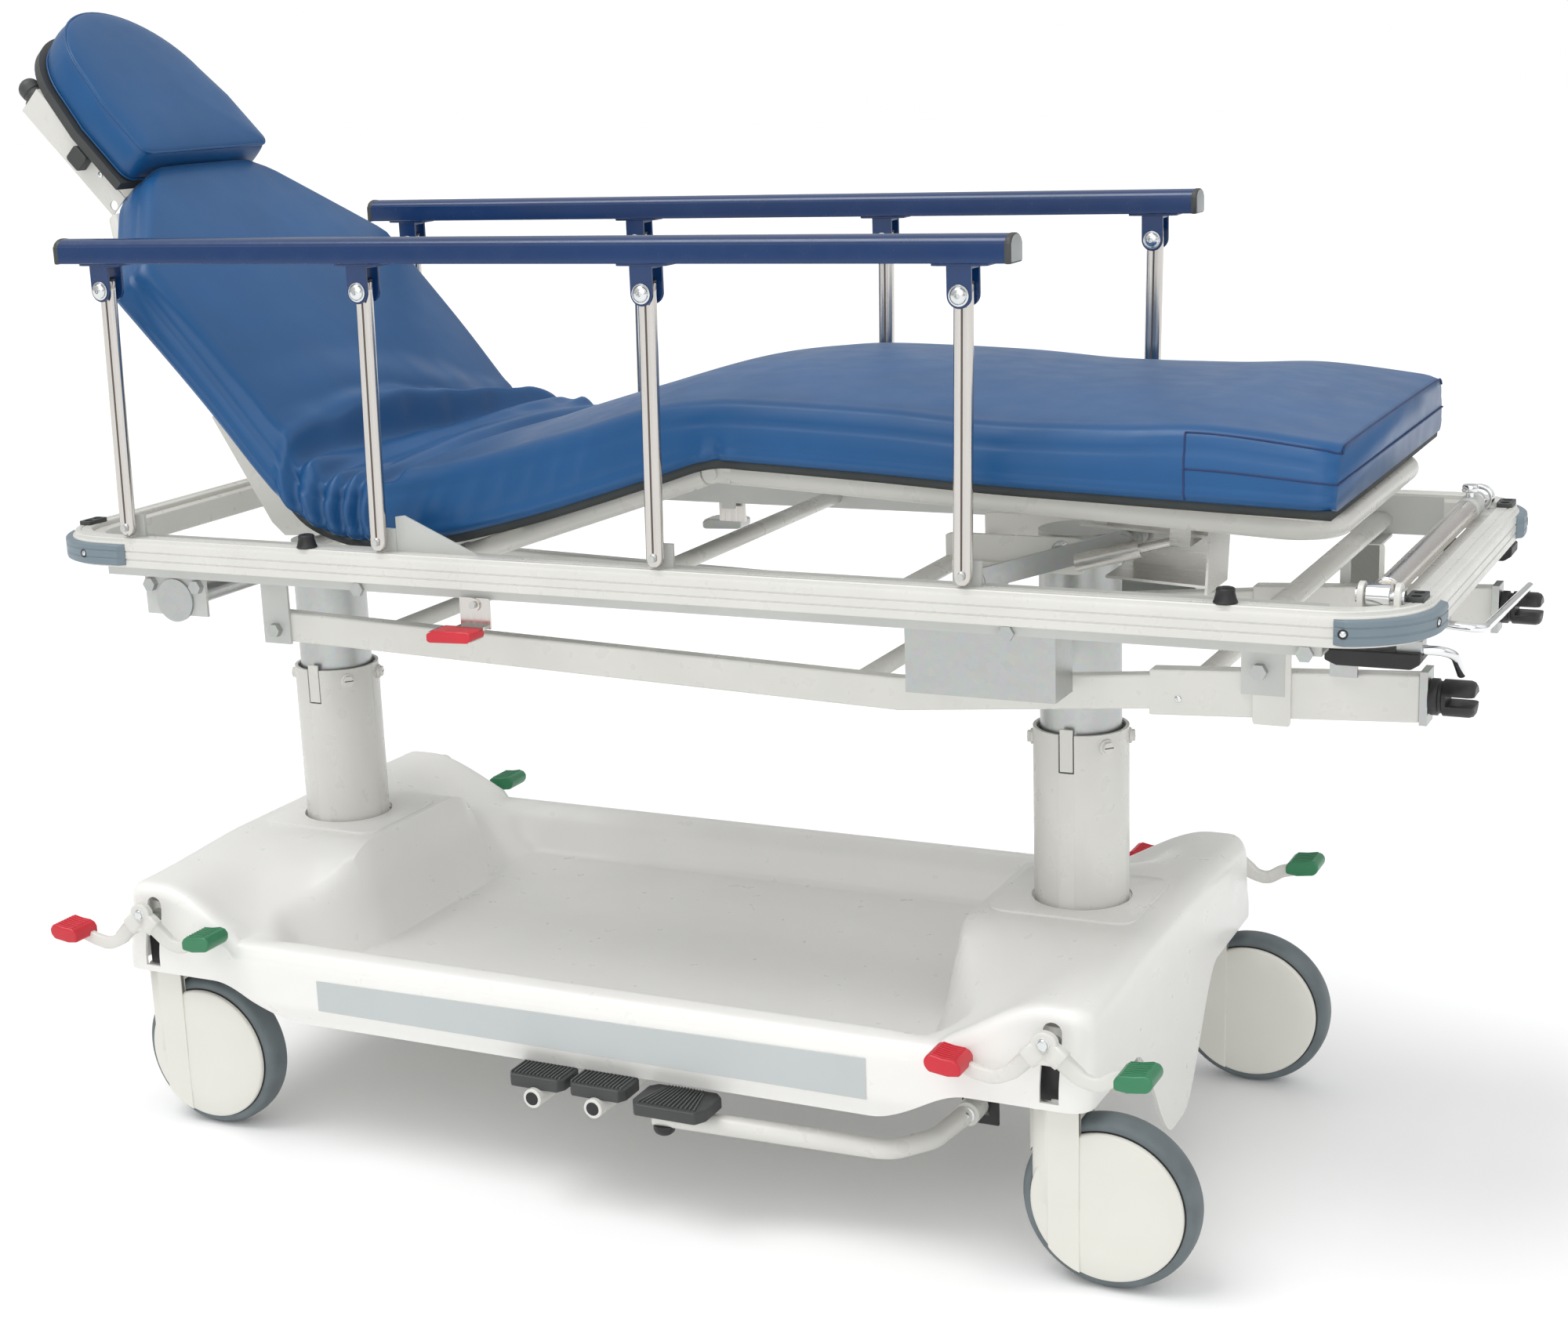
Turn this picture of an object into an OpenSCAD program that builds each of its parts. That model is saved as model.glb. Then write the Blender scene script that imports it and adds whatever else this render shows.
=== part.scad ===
// Hospital stretcher trolley: two lifting columns on a castered base carry a
// tilting litter with a raising backrest, a raising knee section, folding side
// rails and a folding infusion pole. Millimetres, +Z up, floor at z = 0,
// +X towards the foot end, +Y towards the far side.

/* [Base] */
// distance of each lifting column from the middle of the wheelbase
col_x = 530; // [450:5:600]
// outer radius of the fixed column tubes
col_r = 56.5; // [45:0.5:70]
// height of the top rim of the fixed column tubes
rim_z = 550; // [450:5:650]
// distance of each caster stem from the middle of the wheelbase
stem_x = 606; // [550:2:650]
// sideways distance of each caster stem from the centre line
stem_y = 302; // [260:2:330]
// wheel diameter over the tyre
wheel_d = 200; // [150:5:200]
// trail of the wheel axle behind the swivel stem
trail = 57; // [40:1:60]
// height of the flat tops of the shroud round the columns
shroud_z = 336; // [300:2:360]
// wall thickness of the moulded shroud
shroud_t = 4; // [3:0.5:6]

/* [Litter] */
// outer width of the litter frame
litter_w = 685; // [600:5:760]
// head end of the litter frame
litter_x0 = -718; // [-760:2:-680]
// foot end of the litter frame
litter_x1 = 981; // [940:2:1010]
// underside of the litter frame extrusion
litter_z = 747; // [700:1:800]
// height of the litter frame extrusion
litter_h = 36; // [30:1:40]
// width of the litter frame extrusion
litter_b = 42; // [36:1:44]
// outer corner radius of the litter frame
litter_r = 92; // [70:2:110]

/* [Sections] */
// backrest angle above level as built
back_deg = 46; // [0:1:62]
// thigh section angle above level as built
thigh_deg = 18.4; // [0:0.1:26]
// lower leg section angle below level as built
leg_deg = 3; // [0:0.1:5]
// length of the thigh section between its two hinges
thigh_l = 361.5; // [330:0.5:380]
// length of the backrest cushion from its hinge
back_l = 536; // [480:1:540]
// half width of the cushions
pad_y = 286; // [250:1:290]
// thickness of the cushions
pad_t = 73; // [60:1:90]
// outer radius of the section frame tubes
tube_r = 12.5; // [10:0.5:15]

/* [Side rails] */
// sideways distance of the side rails from the centre line
rail_y = 334; // [326:1:340]
// distance between a post's bottom pivot and its top bolt
post_l = 291; // [250:1:320]
// height of the posts' bottom pivots
post_z = 796; // [794:1:800]
// lean of the posts towards the head end as built, degrees
post_lean = -1.2; // [-4:0.1:4]

/* [Hidden] */
// moves the whole trolley so that the middle of its length is at the origin
x_shift = -53;
wheel_r = wheel_d / 2;
inner_r = 48;
guide_r = inner_r + 0.05;
back_o = [-357, 0, 775];
thigh_o = [-170, 0, 760];
knee_o = [thigh_o[0] + thigh_l * cos(thigh_deg), 0, thigh_o[2] + thigh_l * sin(thigh_deg)];
head_u = 545;
head_w = 10;
tilt_o = [-col_x, 0, 705];
foot_pin_z = 772;
lever_o = [430, -85, 734];
lever_l = 188;
lever_deg = 17.3;
brake_z = 285;
pump_o = [460, -196, 130];
pump_path = [[128, -352, 134], [396, -307.3, 116.5], [416, -298, 116], [428, -280, 116.5],
    [436, -262, 118], [458, -206, 129]];
pole_o = [933, -288, 790];
post_x = [-584, -214, 151, 513];
web_y = litter_w / 2 - litter_b - 0.5;
frame_y = 220;
lug_y = 318;
socket_x = [-701, 964];
socket_y = 262;
fn_big = 72;
fn_mid = 40;
fn_small = 24;

$fn = fn_mid;

// ---- helpers ----

module place() { translate([x_shift, 0, 0]) children(); }

module both_sides() { children(); mirror([0, 1, 0]) children(); }

// box from its two opposite corners
module span(a, b) { translate(a) cube([b[0] - a[0], b[1] - a[1], b[2] - a[2]]); }

// round bar between two points
module rod(a, b, r) {
    d = b - a;
    l = norm(d);
    translate(a) rotate([0, acos(d[2] / l), atan2(d[1], d[0])]) cylinder(r = r, h = l);
}

// cylinder along Y, from y0 to y1
module ycyl(x, z, y0, y1, r) {
    translate([x, y1, z]) rotate([90, 0, 0]) cylinder(r = r, h = y1 - y0);
}

// cylinder along X, from x0 to x1
module xcyl(x0, x1, y, z, r) {
    translate([x0, y, z]) rotate([0, 90, 0]) cylinder(r = r, h = x1 - x0);
}

// round tube swept along a path that runs nowhere straight up
module swept_tube(path, r, sides = 16) {
    last = len(path) - 1;
    rings = [for (i = [0 : last])
        let (d = path[min(i + 1, last)] - path[max(i - 1, 0)],
            u = d / norm(d),
            s = cross(u, [0, 0, 1]) / norm(cross(u, [0, 0, 1])),
            n = cross(s, u))
        for (k = [0 : sides - 1])
            path[i] + r * cos(360 * k / sides) * s + r * sin(360 * k / sides) * n];
    sides_of = [for (i = [0 : last - 1], k = [0 : sides - 1])
        let (a = i * sides + k, b = i * sides + (k + 1) % sides)
        for (f = [[a, b, a + sides], [b, b + sides, a + sides]]) f];
    ends = [[for (k = [sides - 1 : -1 : 0]) k], [for (k = [0 : sides - 1]) last * sides + k]];
    polyhedron(rings, concat(sides_of, ends));
}

// flat bar between two points of an XZ plane, from y0 to y1
module flat_bar(a, b, y0, y1, h) {
    d = b - a;
    l = norm(d);
    translate([a[0], y0, a[1]]) rotate([0, -atan2(d[1], d[0]), 0])
        translate([0, 0, -h / 2]) cube([l, y1 - y0, h]);
}

// XZ outline drawn from y0 to y1
module linear_y(y0, y1) translate([0, y1, 0]) rotate([90, 0, 0]) linear_extrude(y1 - y0)
    children();

module rounded(x0, x1, hw, r) {
    hull() for (x = [x0 + r, x1 - r], y = [-hw + r, hw - r]) translate([x, y]) circle(r = r);
}

// backrest frame of reference: -x runs up the backrest, z is its normal
module on_back() { translate(back_o) rotate([0, back_deg, 0]) children(); }
module on_thigh() { translate(thigh_o) rotate([0, -thigh_deg, 0]) children(); }
module on_leg() { translate(knee_o) rotate([0, leg_deg, 0]) children(); }

// ---- base ----

// outer form of the shroud, drawn in by w
module shroud_form(w) {
    hull() {
        span([-654 + w, -330 + w, 214], [-600, 330 - w, 328 - w]);
        span([-632 + w, -112 + w, 214], [-418 - w, 112 - w, shroud_z - w]);
        span([-654 + w, -346 + w, 214], [-380 - w, 346 - w, 250 - w]);
    }
    hull() {
        span([600, -330 + w, 214], [650 - w, 330 - w, 324 - w]);
        span([424 + w, -112 + w, 214], [628 - w, 112 - w, shroud_z - w]);
        span([400 + w, -346 + w, 214], [650 - w, 346 - w, 250 - w]);
    }
    difference() {
        union() {
            span([-600, -346 + w, 214], [600, 346 - w, 250 - w]);
            hull() {
                span([-440 + w, -346 + w, 200], [440 - w, 346 - w, 250 - w]);
                span([-380 + w, -332 + w, 170], [420 - w, 332 - w, 200]);
            }
            for (s = [-1, 1]) span([-400, s * 318 - 28 + w, 200], [410, s * 318 + 28 - w, 266 - w]);
        }
        span([-425 - w, -295 - w, 204 - w], [430 + w, 295 + w, 400]);
    }
}

module base_shell() color("whitesmoke") place() difference() {
    union() {
        difference() {
            shroud_form(0);
            translate([0, 0, -0.01]) shroud_form(shroud_t);
            span([-376, -328, 160], [416, 328, 199]);
            both_sides() span([-450, 96, 140], [450, 144, 199]);
            span([-596, -342, 200], [-440, 342, 222]);
            span([440, -342, 200], [596, 342, 222]);
            span([-650, -326, 200], [-590, 326, 222]);
            span([590, -326, 200], [646, 326, 222]);
        }
        hull() {
            span([645, -150, 214], [650, 150, 224]);
            span([645, -40, 62], [650, 40, 70]);
        }
    }
    for (s = [-1, 1]) translate([s * col_x, 0, 150]) cylinder(r = 66, h = 300, $fn = fn_big);
    for (s = [-1, 1], t = [-1, 1])
        span([s * stem_x - 12, t * 345 - 45, 230], [s * stem_x + 12, t * 345 + 45, 312]);
}

module chassis() color("silver") place() difference() {
    union() {
        both_sides() span([-620, 100, 150], [620, 140, 190]);
        both_sides() for (x = [-300, 260]) span([x, 100, 188], [x + 40, 140, 199]);
        for (s = [-1, 1]) {
            span([s * stem_x - 24, -302, 228], [s * stem_x + 24, 302, 262]);
            both_sides() span([s * stem_x - 14, 100, 190], [s * stem_x + 14, 140, 228]);
            span([s * col_x - 72, -100, 150], [s * col_x + 72, 100, 190]);
            both_sides() translate([s * stem_x, stem_y, 224])
                cylinder(r = 22, h = 78);
            translate([s * col_x, 0, 110]) cylinder(r = 66, h = 40, $fn = fn_big);
        }
        // carrier arms and cross shaft of the two lowering pedals
        for (x = [-92, 130]) span([x, -192, 128], [x + 8, -140, 152]);
        for (x = [-92, 130]) span([x, -150, 128], [x + 8, -100, 170]);
        xcyl(-84, 130, -180, 140, 6);
        // bracket and pin of the pump lever
        span([445, -178, 116], [475, -100, 150]);
        span([445, -140, 116], [475, -100, 170]);
        ycyl(pump_o[0], pump_o[2], -214, -178, 7);
    }
    for (s = [-1, 1]) {
        translate([s * col_x, 0, 0]) cylinder(r = col_r, h = 700, $fn = fn_big);
        both_sides() translate([s * stem_x, stem_y, 200]) cylinder(r = 14.05, h = 63);
        ycyl(s * stem_x, brake_z, -340, 340, 8.05);
    }
}

module outer_column(s) translate([s * col_x, 0, 0]) {
    difference() {
        translate([0, 0, 105]) cylinder(r = col_r, h = rim_z - 105, $fn = fn_big);
        translate([0, 0, 100]) cylinder(r = guide_r, h = 600, $fn = fn_big);
        translate([0, 0, rim_z - 48]) cylinder(r = 52, h = 60, $fn = fn_big);
        rotate([0, 0, -90]) span([0, -9, rim_z - 46], [80, 9, rim_z + 10]);
    }
    for (a = [-163, -41, 22, 110]) rotate([0, 0, a]) translate([col_r - 1, 0, rim_z - 14])
        rotate([0, 90, 0]) {
            cylinder(r = 8.5, h = 4);
            cylinder(r = 6.5, h = 6, $fn = 6);
        }
}

module outer_columns() color("gainsboro") place() {
    outer_column(-1);
    outer_column(1);
}

module column_covers() color("white") place() for (s = [-1, 1]) difference() {
    translate([0, 0, shroud_z]) linear_extrude(3)
        translate([s * (col_x - 3), 0]) rounded(-91, 91, 86, 18);
    translate([s * col_x, 0, 300]) cylinder(r = 59, h = 100, $fn = fn_big);
}

// ---- casters ----

module fork(s, t) translate([s * stem_x, t * stem_y, 0]) {
    difference() {
        union() {
            translate([0, 0, 62]) linear_extrude(149) {
                translate([-8, 0]) circle(r = 27, $fn = fn_big);
                translate([-8, -27]) square([40, 54]);
            }
            ycyl(trail, wheel_r, -25, 25, 87);
        }
        ycyl(trail, wheel_r, -19.6, 19.6, wheel_r + 2.5);
    }
    ycyl(trail, wheel_r, -20, 20, 6);
    translate([0, 0, 210]) cylinder(r = 24, h = 13.9);
    translate([0, 0, 220]) cylinder(r = 14, h = 42);
}

module wheel(s, t) translate([s * stem_x + trail, t * stem_y, wheel_r]) rotate([90, 0, 0])
    difference() {
        rotate_extrude($fn = 96) polygon([[0, -14], [80, -14], [84, -19], [94, -19], [100, -8],
            [100, 8], [94, 19], [84, 19], [80, 14], [0, 14]]);
        translate([0, 0, -30]) cylinder(r = 6.05, h = 60);
    }

module fork_near_head() color("ivory") place() fork(-1, -1);
module fork_near_foot() color("ivory") place() fork(1, -1);
module fork_far_head() color("ivory") place() fork(-1, 1);
module fork_far_foot() color("ivory") place() fork(1, 1);
module wheel_near_head() color("slategray") place() wheel(-1, -1);
module wheel_near_foot() color("slategray") place() wheel(1, -1);
module wheel_far_head() color("slategray") place() wheel(-1, 1);
module wheel_far_foot() color("slategray") place() wheel(1, 1);

// ---- brake and steer pedals ----

module brake_shaft(s) translate([s * stem_x, 0, brake_z]) {
    ycyl(0, 0, -358, 358, 8);
    both_sides() {
        linear_y(353, 363) polygon([[-86, -27], [-40, -27], [-12, -4], [12, -4], [40, -26],
            [86, -15], [86, -4], [44, -10], [15, 16], [-15, 16], [-44, -13], [-86, -15]]);
        ycyl(0, 10, 352, 364, 20);
        ycyl(0, 12, 363, 368, 6);
    }
}

module caps(s, dir, dz) translate([s * stem_x, 0, brake_z]) both_sides()
    translate([0, 388, 0]) rotate([90, 0, 0]) linear_extrude(40)
        polygon([[dir * 86, dz - 8], [dir * 86, dz + 6], [dir * 92, dz + 12],
            [dir * 122, dz + 14], [dir * 128, dz + 6], [dir * 122, dz - 6]]);

module brake_shaft_head() color("gainsboro") place() brake_shaft(-1);
module brake_shaft_foot() color("gainsboro") place() brake_shaft(1);

module brake_caps_head() color("crimson") place() caps(-1, -1, -21);
module steer_caps_head() color("seagreen") place() caps(-1, 1, -9);
module brake_caps_foot() color("crimson") place() caps(1, -1, -21);
module steer_caps_foot() color("seagreen") place() caps(1, 1, -9);

// ---- foot pedals ----

module tilt_pedal(x) {
    difference() {
        union() {
            rod([x, -392, 141], [x, -186, 140], 11);
            xcyl(x - 14, x + 14, -180, 140, 13);
        }
        rod([x, -400, 141], [x, -330, 140.6], 8);
        xcyl(x - 40, x + 40, -180, 140, 6.05);
    }
    translate([x - 6, -345, 151]) hull() {
        span([-40, -28, 0], [40, 22, 10]);
        span([-34, -22, 0], [34, 16, 18]);
    }
}

module lower_head_pedal() color("dimgray") place() tilt_pedal(-28);
module lower_foot_pedal() color("dimgray") place() tilt_pedal(54);

module pump_lever() color("white") place() difference() {
    union() {
        swept_tube(pump_path, 12);
        ycyl(pump_o[0], pump_o[2], -212, -180, 15);
    }
    ycyl(pump_o[0], pump_o[2], -230, -170, 7.05);
}

module pump_pad() color("dimgray") place() {
    difference() {
        hull() {
            span([98, -392, 138], [206, -322, 150]);
            span([112, -382, 138], [196, -330, 160]);
        }
        rod([100, -356.7, 135.8], [300, -323.3, 122.8], 12.05);
    }
    translate([136, -351, 110]) cylinder(r1 = 10, r2 = 13, h = 10.4);
}

// ---- lift columns ----

module inner_tube(s, top) translate([s * col_x, 0, 0]) difference() {
    translate([0, 0, 340]) cylinder(r = inner_r, h = top - 340, $fn = fn_big);
    translate([0, 0, 330]) cylinder(r = inner_r - 5, h = top - 336, $fn = fn_big);
}

module inner_column_head() color("silver") place() {
    difference() {
        inner_tube(-1, 722);
        ycyl(tilt_o[0], tilt_o[2], -60, 60, 13.99);
    }
    ycyl(tilt_o[0], tilt_o[2], -323, 323, 14);
    both_sides() ycyl(tilt_o[0], tilt_o[2], 322.2, 326, 27);
}

module inner_column_foot() color("silver") place() difference() {
    inner_tube(1, 785);
    span([col_x - 20, -60, foot_pin_z - 8.8], [col_x + 12, 60, foot_pin_z + 8.8]);
}

// ---- litter ----

module litter_ring(o, i, h) linear_extrude(h) difference() {
    rounded(litter_x0 - o, litter_x1 + o, litter_w / 2 + o, litter_r + o);
    rounded(litter_x0 + i, litter_x1 - i, litter_w / 2 - i, litter_r - i);
}

module litter_bars() difference() {
    union() {
        translate([0, 0, litter_z]) litter_ring(0, litter_b, litter_h - 6);
        translate([0, 0, litter_z + litter_h - 6]) litter_ring(-4, litter_b - 16, 6);
    }
    xcyl(pole_o[0] - 30, pole_o[0] + 14.9, pole_o[1], pole_o[2], 12.4);
    ycyl(pole_o[0], pole_o[2], 225, 400, 11.4);
}

module litter_frame() color("gainsboro") place() {
    // the end bars meet the corners in the socket blocks
    difference() {
        litter_bars();
        both_sides() for (x = socket_x)
            span([x - 40, socket_y - 15.5, 700], [x + 40, socket_y + 15.5, 800]);
    }
    // cross tubes between the side plates
    for (x = [86, 396]) ycyl(x, 750, -web_y, web_y, 11);
    ycyl(812, 752, -web_y, web_y, 12);
    // cheeks and pin of the foot column's pivot
    both_sides() span([390, 62, 744], [556, 68, 786]);
    ycyl(col_x, foot_pin_z, -68, 68, 8);
    // ears and pin of the pole's pivot, pivot block of the lift lever
    for (x = [-21, 15]) span([pole_o[0] + x, -302, litter_z + litter_h + 0.05],
        [pole_o[0] + x + 6, -278, 804]);
    xcyl(pole_o[0] - 18, pole_o[0] + 18, pole_o[1], pole_o[2], 5);
    span([415, -78.5, 722], [466, -66, 756]);
    ycyl(lever_o[0], lever_o[2], -94, -70, 7);
}

module side_plates() color("darkgray") place() both_sides() difference() {
    union() {
        span([-624, web_y, 738], [886, web_y + 0.5, 782]);
        span([-624, web_y, 735], [886, 332, 738]);
        span([-624, 329, 738], [886, 332, litter_z - 0.02]);
        // hinge plates of the tilt pivot
        span([-576, 318, 686], [-484, 322, 735]);
        // hangers of the lower frame
        span([-470, 227, 634], [-430, 231, 735]);
        span([-470, 227, 732], [-430, web_y, 735]);
        span([780, 227, 664], [826, 231, 735]);
        span([780, 227, 732], [826, web_y, 735]);
        // hinge pins of the backrest and the thigh section
        ycyl(back_o[0], back_o[2], 208, web_y, 7);
        ycyl(thigh_o[0], thigh_o[2], 208, web_y, 6);
        // triangular guard plate beside the second post
        linear_y(lug_y, lug_y + 2.5)
            polygon([[-198, 783], [-198, 824], [-186, 826], [-86, 783]]);
        // pins of the side rail latches
        span([-95, 325, 722], [-75, 329, 738]);
        ycyl(-85, 730, 325, 346, 4);
        // lugs and pins of the folding posts
        for (x = post_x) {
            span([x - 16, lug_y, 783], [x + 16, lug_y + 4.5, 810]);
            ycyl(x, post_z, lug_y, rail_y + 11, 4);
        }
    }
    ycyl(tilt_o[0], tilt_o[2], 300, 340, 14.05);
}

module corner_bumpers() color("slategray") place() intersection() {
    translate([0, 0, litter_z + 2]) difference() {
        litter_ring(8, 0, litter_h - 8);
        translate([0, 0, 10]) litter_ring(9, -7, 4);
    }
    union() for (t = [-1, 1]) {
        span([-740, t * 305 - 60, 700], [-584, t * 305 + 60, 800]);
        span([894, t * 315 - 60, 700], [1000, t * 315 + 60, 800]);
    }
}

module rail_buffers() color("black") place() both_sides() for (x = [-321, 789])
    translate([x, 329, litter_z + litter_h]) cylinder(r1 = 12, r2 = 9, h = 16);

// distance inwards from the frame's end to a line that runs round a corner at radius r
function corner(r, y) = litter_r - sqrt(r * r - pow(max(y - litter_w / 2 + litter_r, 0), 2));

module socket_plan(s, from, to, o, i) polygon([
    for (k = [0:4]) let (y = from + (to - from) * k / 4)
        [s[0] + s[1] * corner(litter_r - o, y), y],
    for (k = [4:-1:0]) let (y = from + (to - from) * k / 4)
        [s[0] + s[1] * corner(litter_r - i, y), y]]);

// socket blocks that join the end bars to the corners, one upright hole in each half
module sockets() color("darkslategray") place() both_sides()
    for (s = [[litter_x0, 1, socket_x[0]], [litter_x1, -1, socket_x[1]]], d = [-1, 1]) {
        from = socket_y + (d < 0 ? -15.5 : 0.1);
        to = socket_y + (d < 0 ? -0.1 : 15.5);
        y = socket_y + 8.5 * d;
        difference() {
            union() {
                translate([0, 0, litter_z]) linear_extrude(litter_h - 6)
                    socket_plan(s, from, to, 0.5, litter_b);
                translate([0, 0, litter_z + litter_h - 6]) linear_extrude(6)
                    socket_plan(s, from, to, 4, litter_b - 16);
                span([s[2] - 9, y - 8.4, litter_z + litter_h],
                    [s[2] + 9, y + 8.4, litter_z + litter_h + 5]);
            }
            translate([s[2], y, 700]) cylinder(r = 5.5, h = 100);
        }
    }

module lower_frame() color("lightgray") place() {
    both_sides() {
        linear_y(207, 227) polygon([[-462, 637], [392, 613], [700, 640], [700, 678],
            [392, 651], [-462, 675]]);
        linear_y(204, 226.9) polygon([[680, 632], [962, 646], [962, 696], [680, 682]]);
    }
    for (p = [[-300, 652], [330, 634], [720, 660]]) ycyl(p[0], p[1], -210, 210, 11);
}

module hex_bolt_y(x, z, y0, y1) {
    translate([x, y1, z]) rotate([90, 0, 0]) cylinder(r = 9, h = y1 - y0, $fn = 6);
}

module zinc_hardware() color("silver") place() both_sides() {
    for (p = [[-450, 652], [800, 690]]) hex_bolt_y(p[0], p[1], 231, 240);
    for (x = [-565, -495]) hex_bolt_y(x, 724, 322, 330);
    // end plates and nuts carrying the transport hooks
    span([962, 196, 644], [970, 228, 700]);
    // bolts of the side plates
    for (x = [-250, 560, 870]) hex_bolt_y(x, 737.5, 332, 337);
    // spring cotter bracket under the foot end
    span([872, 227, 690], [900, 232, 735]);
    // slip cover of the actuator wiring, open towards the middle
    difference() {
        span([430, 240, 655], [600, 296, 735]);
        span([432, 230, 657], [598, 294, 740]);
    }
}

module transport_hooks() color("black") place() both_sides() {
    difference() {
        xcyl(970, 1016, 214, 672, 19);
        span([990, 180, 667], [1030, 250, 677]);
    }
    span([830, 250, 716], [935, 296, 720]);
    span([830, 290, 716], [935, 296, 735]);
}

// bent bar from point to point, with ball corners
module bent_bar(p, r) {
    for (i = [0 : len(p) - 2]) rod(p[i], p[i + 1], r);
    for (i = [1 : len(p) - 2]) translate(p[i]) sphere(r = r + 0.5, $fn = fn_small);
}

module chrome_bars() color("lightgray") place() {
    span([948, -286, 733], [972, -262, litter_z]);
    bent_bar([[966, -274, 738], [1002, -268, 734], [1002, -222, 699]], 5);
    span([950, -152, 725], [972, -130, litter_z]);
    bent_bar([[966, -141, 730], [1012, -138, 726], [1002, 206, 699]], 5);
}

module seat_pad() color("royalblue") place() {
    span([-336, -pad_y, 794], [-192, pad_y, 794 + 66]);
}

// ---- side rail release latches ----

module latch(t) color("silver") place() mirror([0, t < 0 ? 1 : 0, 0]) latch_form();

module latch_form() difference() {
    union() {
        span([-105, 337, 702], [-65, 339.5, 738]);
        span([-105, 339.5, 702], [-69, 350, 706]);
        span([-131, 340, 692], [-75, 370, 702]);
        ycyl(-85, 730, 334, 342, 8);
    }
    ycyl(-85, 730, 300, 400, 4.05);
}

module latch_near() latch(-1);
module latch_far() latch(1);

// ---- backrest and headpiece ----

module back_frame() color("gainsboro") place() on_back() {
    both_sides() difference() {
        union() {
            ycyl(0, 0, 208, 232, 15);
            xcyl(-400, -8, frame_y, 0, tube_r);
            rod([-397, frame_y - 1, 0], [-528, 128, 0], tube_r - 1);
            // bracket and stay plates behind the hinge
            linear_y(212, 216) polygon([[-8, 6], [-8, -10], [-52, -60], [-76, -62],
                [-225, -28], [-215, -8], [-110, 0]]);
        }
        ycyl(0, 0, 200, 240, 7.05);
    }
    for (x = [-90, -300]) ycyl(x, 0, -frame_y, frame_y, 9);
    ycyl(-515, 0, -137, 137, 9);
    span([-530, -125, tube_r], [-390, 125, tube_r + 3]);
    span([-392, -238, tube_r], [-60, 238, tube_r + 3]);
    // hinge lugs of the headpiece
    both_sides() {
        span([-head_u - 2, 98, head_w - 8], [-515, 104, head_w + 5]);
        ycyl(-head_u, head_w, 88, 104, 6);
    }
}

module back_outline(w, u1) polygon([[-62, -w], [-388, -w], [-u1, -w + 158], [-u1, w - 158],
    [-388, w], [-62, w]]);

module back_pad() color("royalblue") place() on_back()
    translate([0, 0, tube_r + 3.3]) linear_extrude(pad_t) back_outline(pad_y, back_l);

module head_frame() color("gainsboro") place() on_back() difference() {
    union() {
        difference() {
            span([-728, -128, -2], [-555, 128, 36]);
            span([-726, -126, -10], [-500, 126, 34]);
        }
        both_sides() {
            span([-570, 126, -2], [-538, 128, 30]);
            span([-600, 88, 2], [-537, 94, 34.5]);
            ycyl(-head_u, head_w, 88, 97.5, 9);
        }
    }
    ycyl(-head_u, head_w, -140, 140, 6.05);
}

module head_shape(g) {
    r = 122 + g;
    hull() {
        translate([-800 + 122, 0]) circle(r = r, $fn = fn_big);
        translate([-548 - 20 - g, -132 - g]) square([20 + g, 264 + 2 * g]);
        translate([-640, -132 - g]) square([20, 264 + 2 * g]);
    }
}

module head_board() color("black") place() on_back()
    translate([0, 0, 36.05]) linear_extrude(12) head_shape(9);

module head_pad() color("royalblue") place() on_back()
    translate([0, 0, 48.35]) linear_extrude(52) head_shape(0);

module head_handles() color("dimgray") place() on_back() both_sides() {
    xcyl(-745, -728, 110, 17, 15);
    xcyl(-731, -728, 110, 17, 19);
    translate([-744, 110, 17]) sphere(r = 14.9);
    // locking knobs on the sides
    span([-632, 128, 10], [-604, 144, 35]);
}

// ---- thigh and lower leg sections ----

module thigh_frame() color("gainsboro") place() on_thigh() {
    both_sides() {
        difference() {
            union() {
                ycyl(0, 0, 208, 232, 14);
                xcyl(8, thigh_l - 14, frame_y, 0, tube_r);
            }
            ycyl(0, 0, 200, 240, 6.05);
        }
        flat_bar([thigh_l - 26, 0], [thigh_l, 0], 209, 219.7, 20);
        ycyl(thigh_l, 0, 209, 233, 5);
        ycyl(thigh_l, 0, 209, 219.7, 12);
        ycyl(thigh_l, 0, 232.3, 236, 8);
    }
    for (x = [50, 200, 320]) ycyl(x, 0, -frame_y, frame_y, 9);
    span([40, -238, tube_r], [thigh_l - 4, 238, tube_r + 3]);
}

module thigh_pad() color("royalblue") place() on_thigh()
    span([34, -pad_y, tube_r + 3.3], [thigh_l - 0.4, pad_y, tube_r + 3.3 + pad_t]);

module leg_frame() color("gainsboro") place() on_leg() {
    both_sides() {
        difference() {
            union() {
                ycyl(0, 0, 220.3, 232, 12);
                flat_bar([0, 0], [24, 0], 220.3, 232, 20);
            }
            ycyl(0, 0, 200, 240, 5.05);
        }
        xcyl(14, 640, frame_y, 0, tube_r);
        translate([640, frame_y - 55, 0]) rotate_extrude(angle = 90) translate([55, 0])
            circle(r = tube_r, $fn = fn_small);
    }
    ycyl(695, 0, -165, 165, tube_r);
    for (x = [60, 414, 520]) ycyl(x, 0, -frame_y, frame_y, 9);
    span([16, -238, tube_r], [690, 238, tube_r + 3]);
}

module leg_pad() color("royalblue") place() on_leg()
    span([0.4, -pad_y, tube_r + 3.3], [712, pad_y, tube_r + 3.3 + pad_t]);

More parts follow.
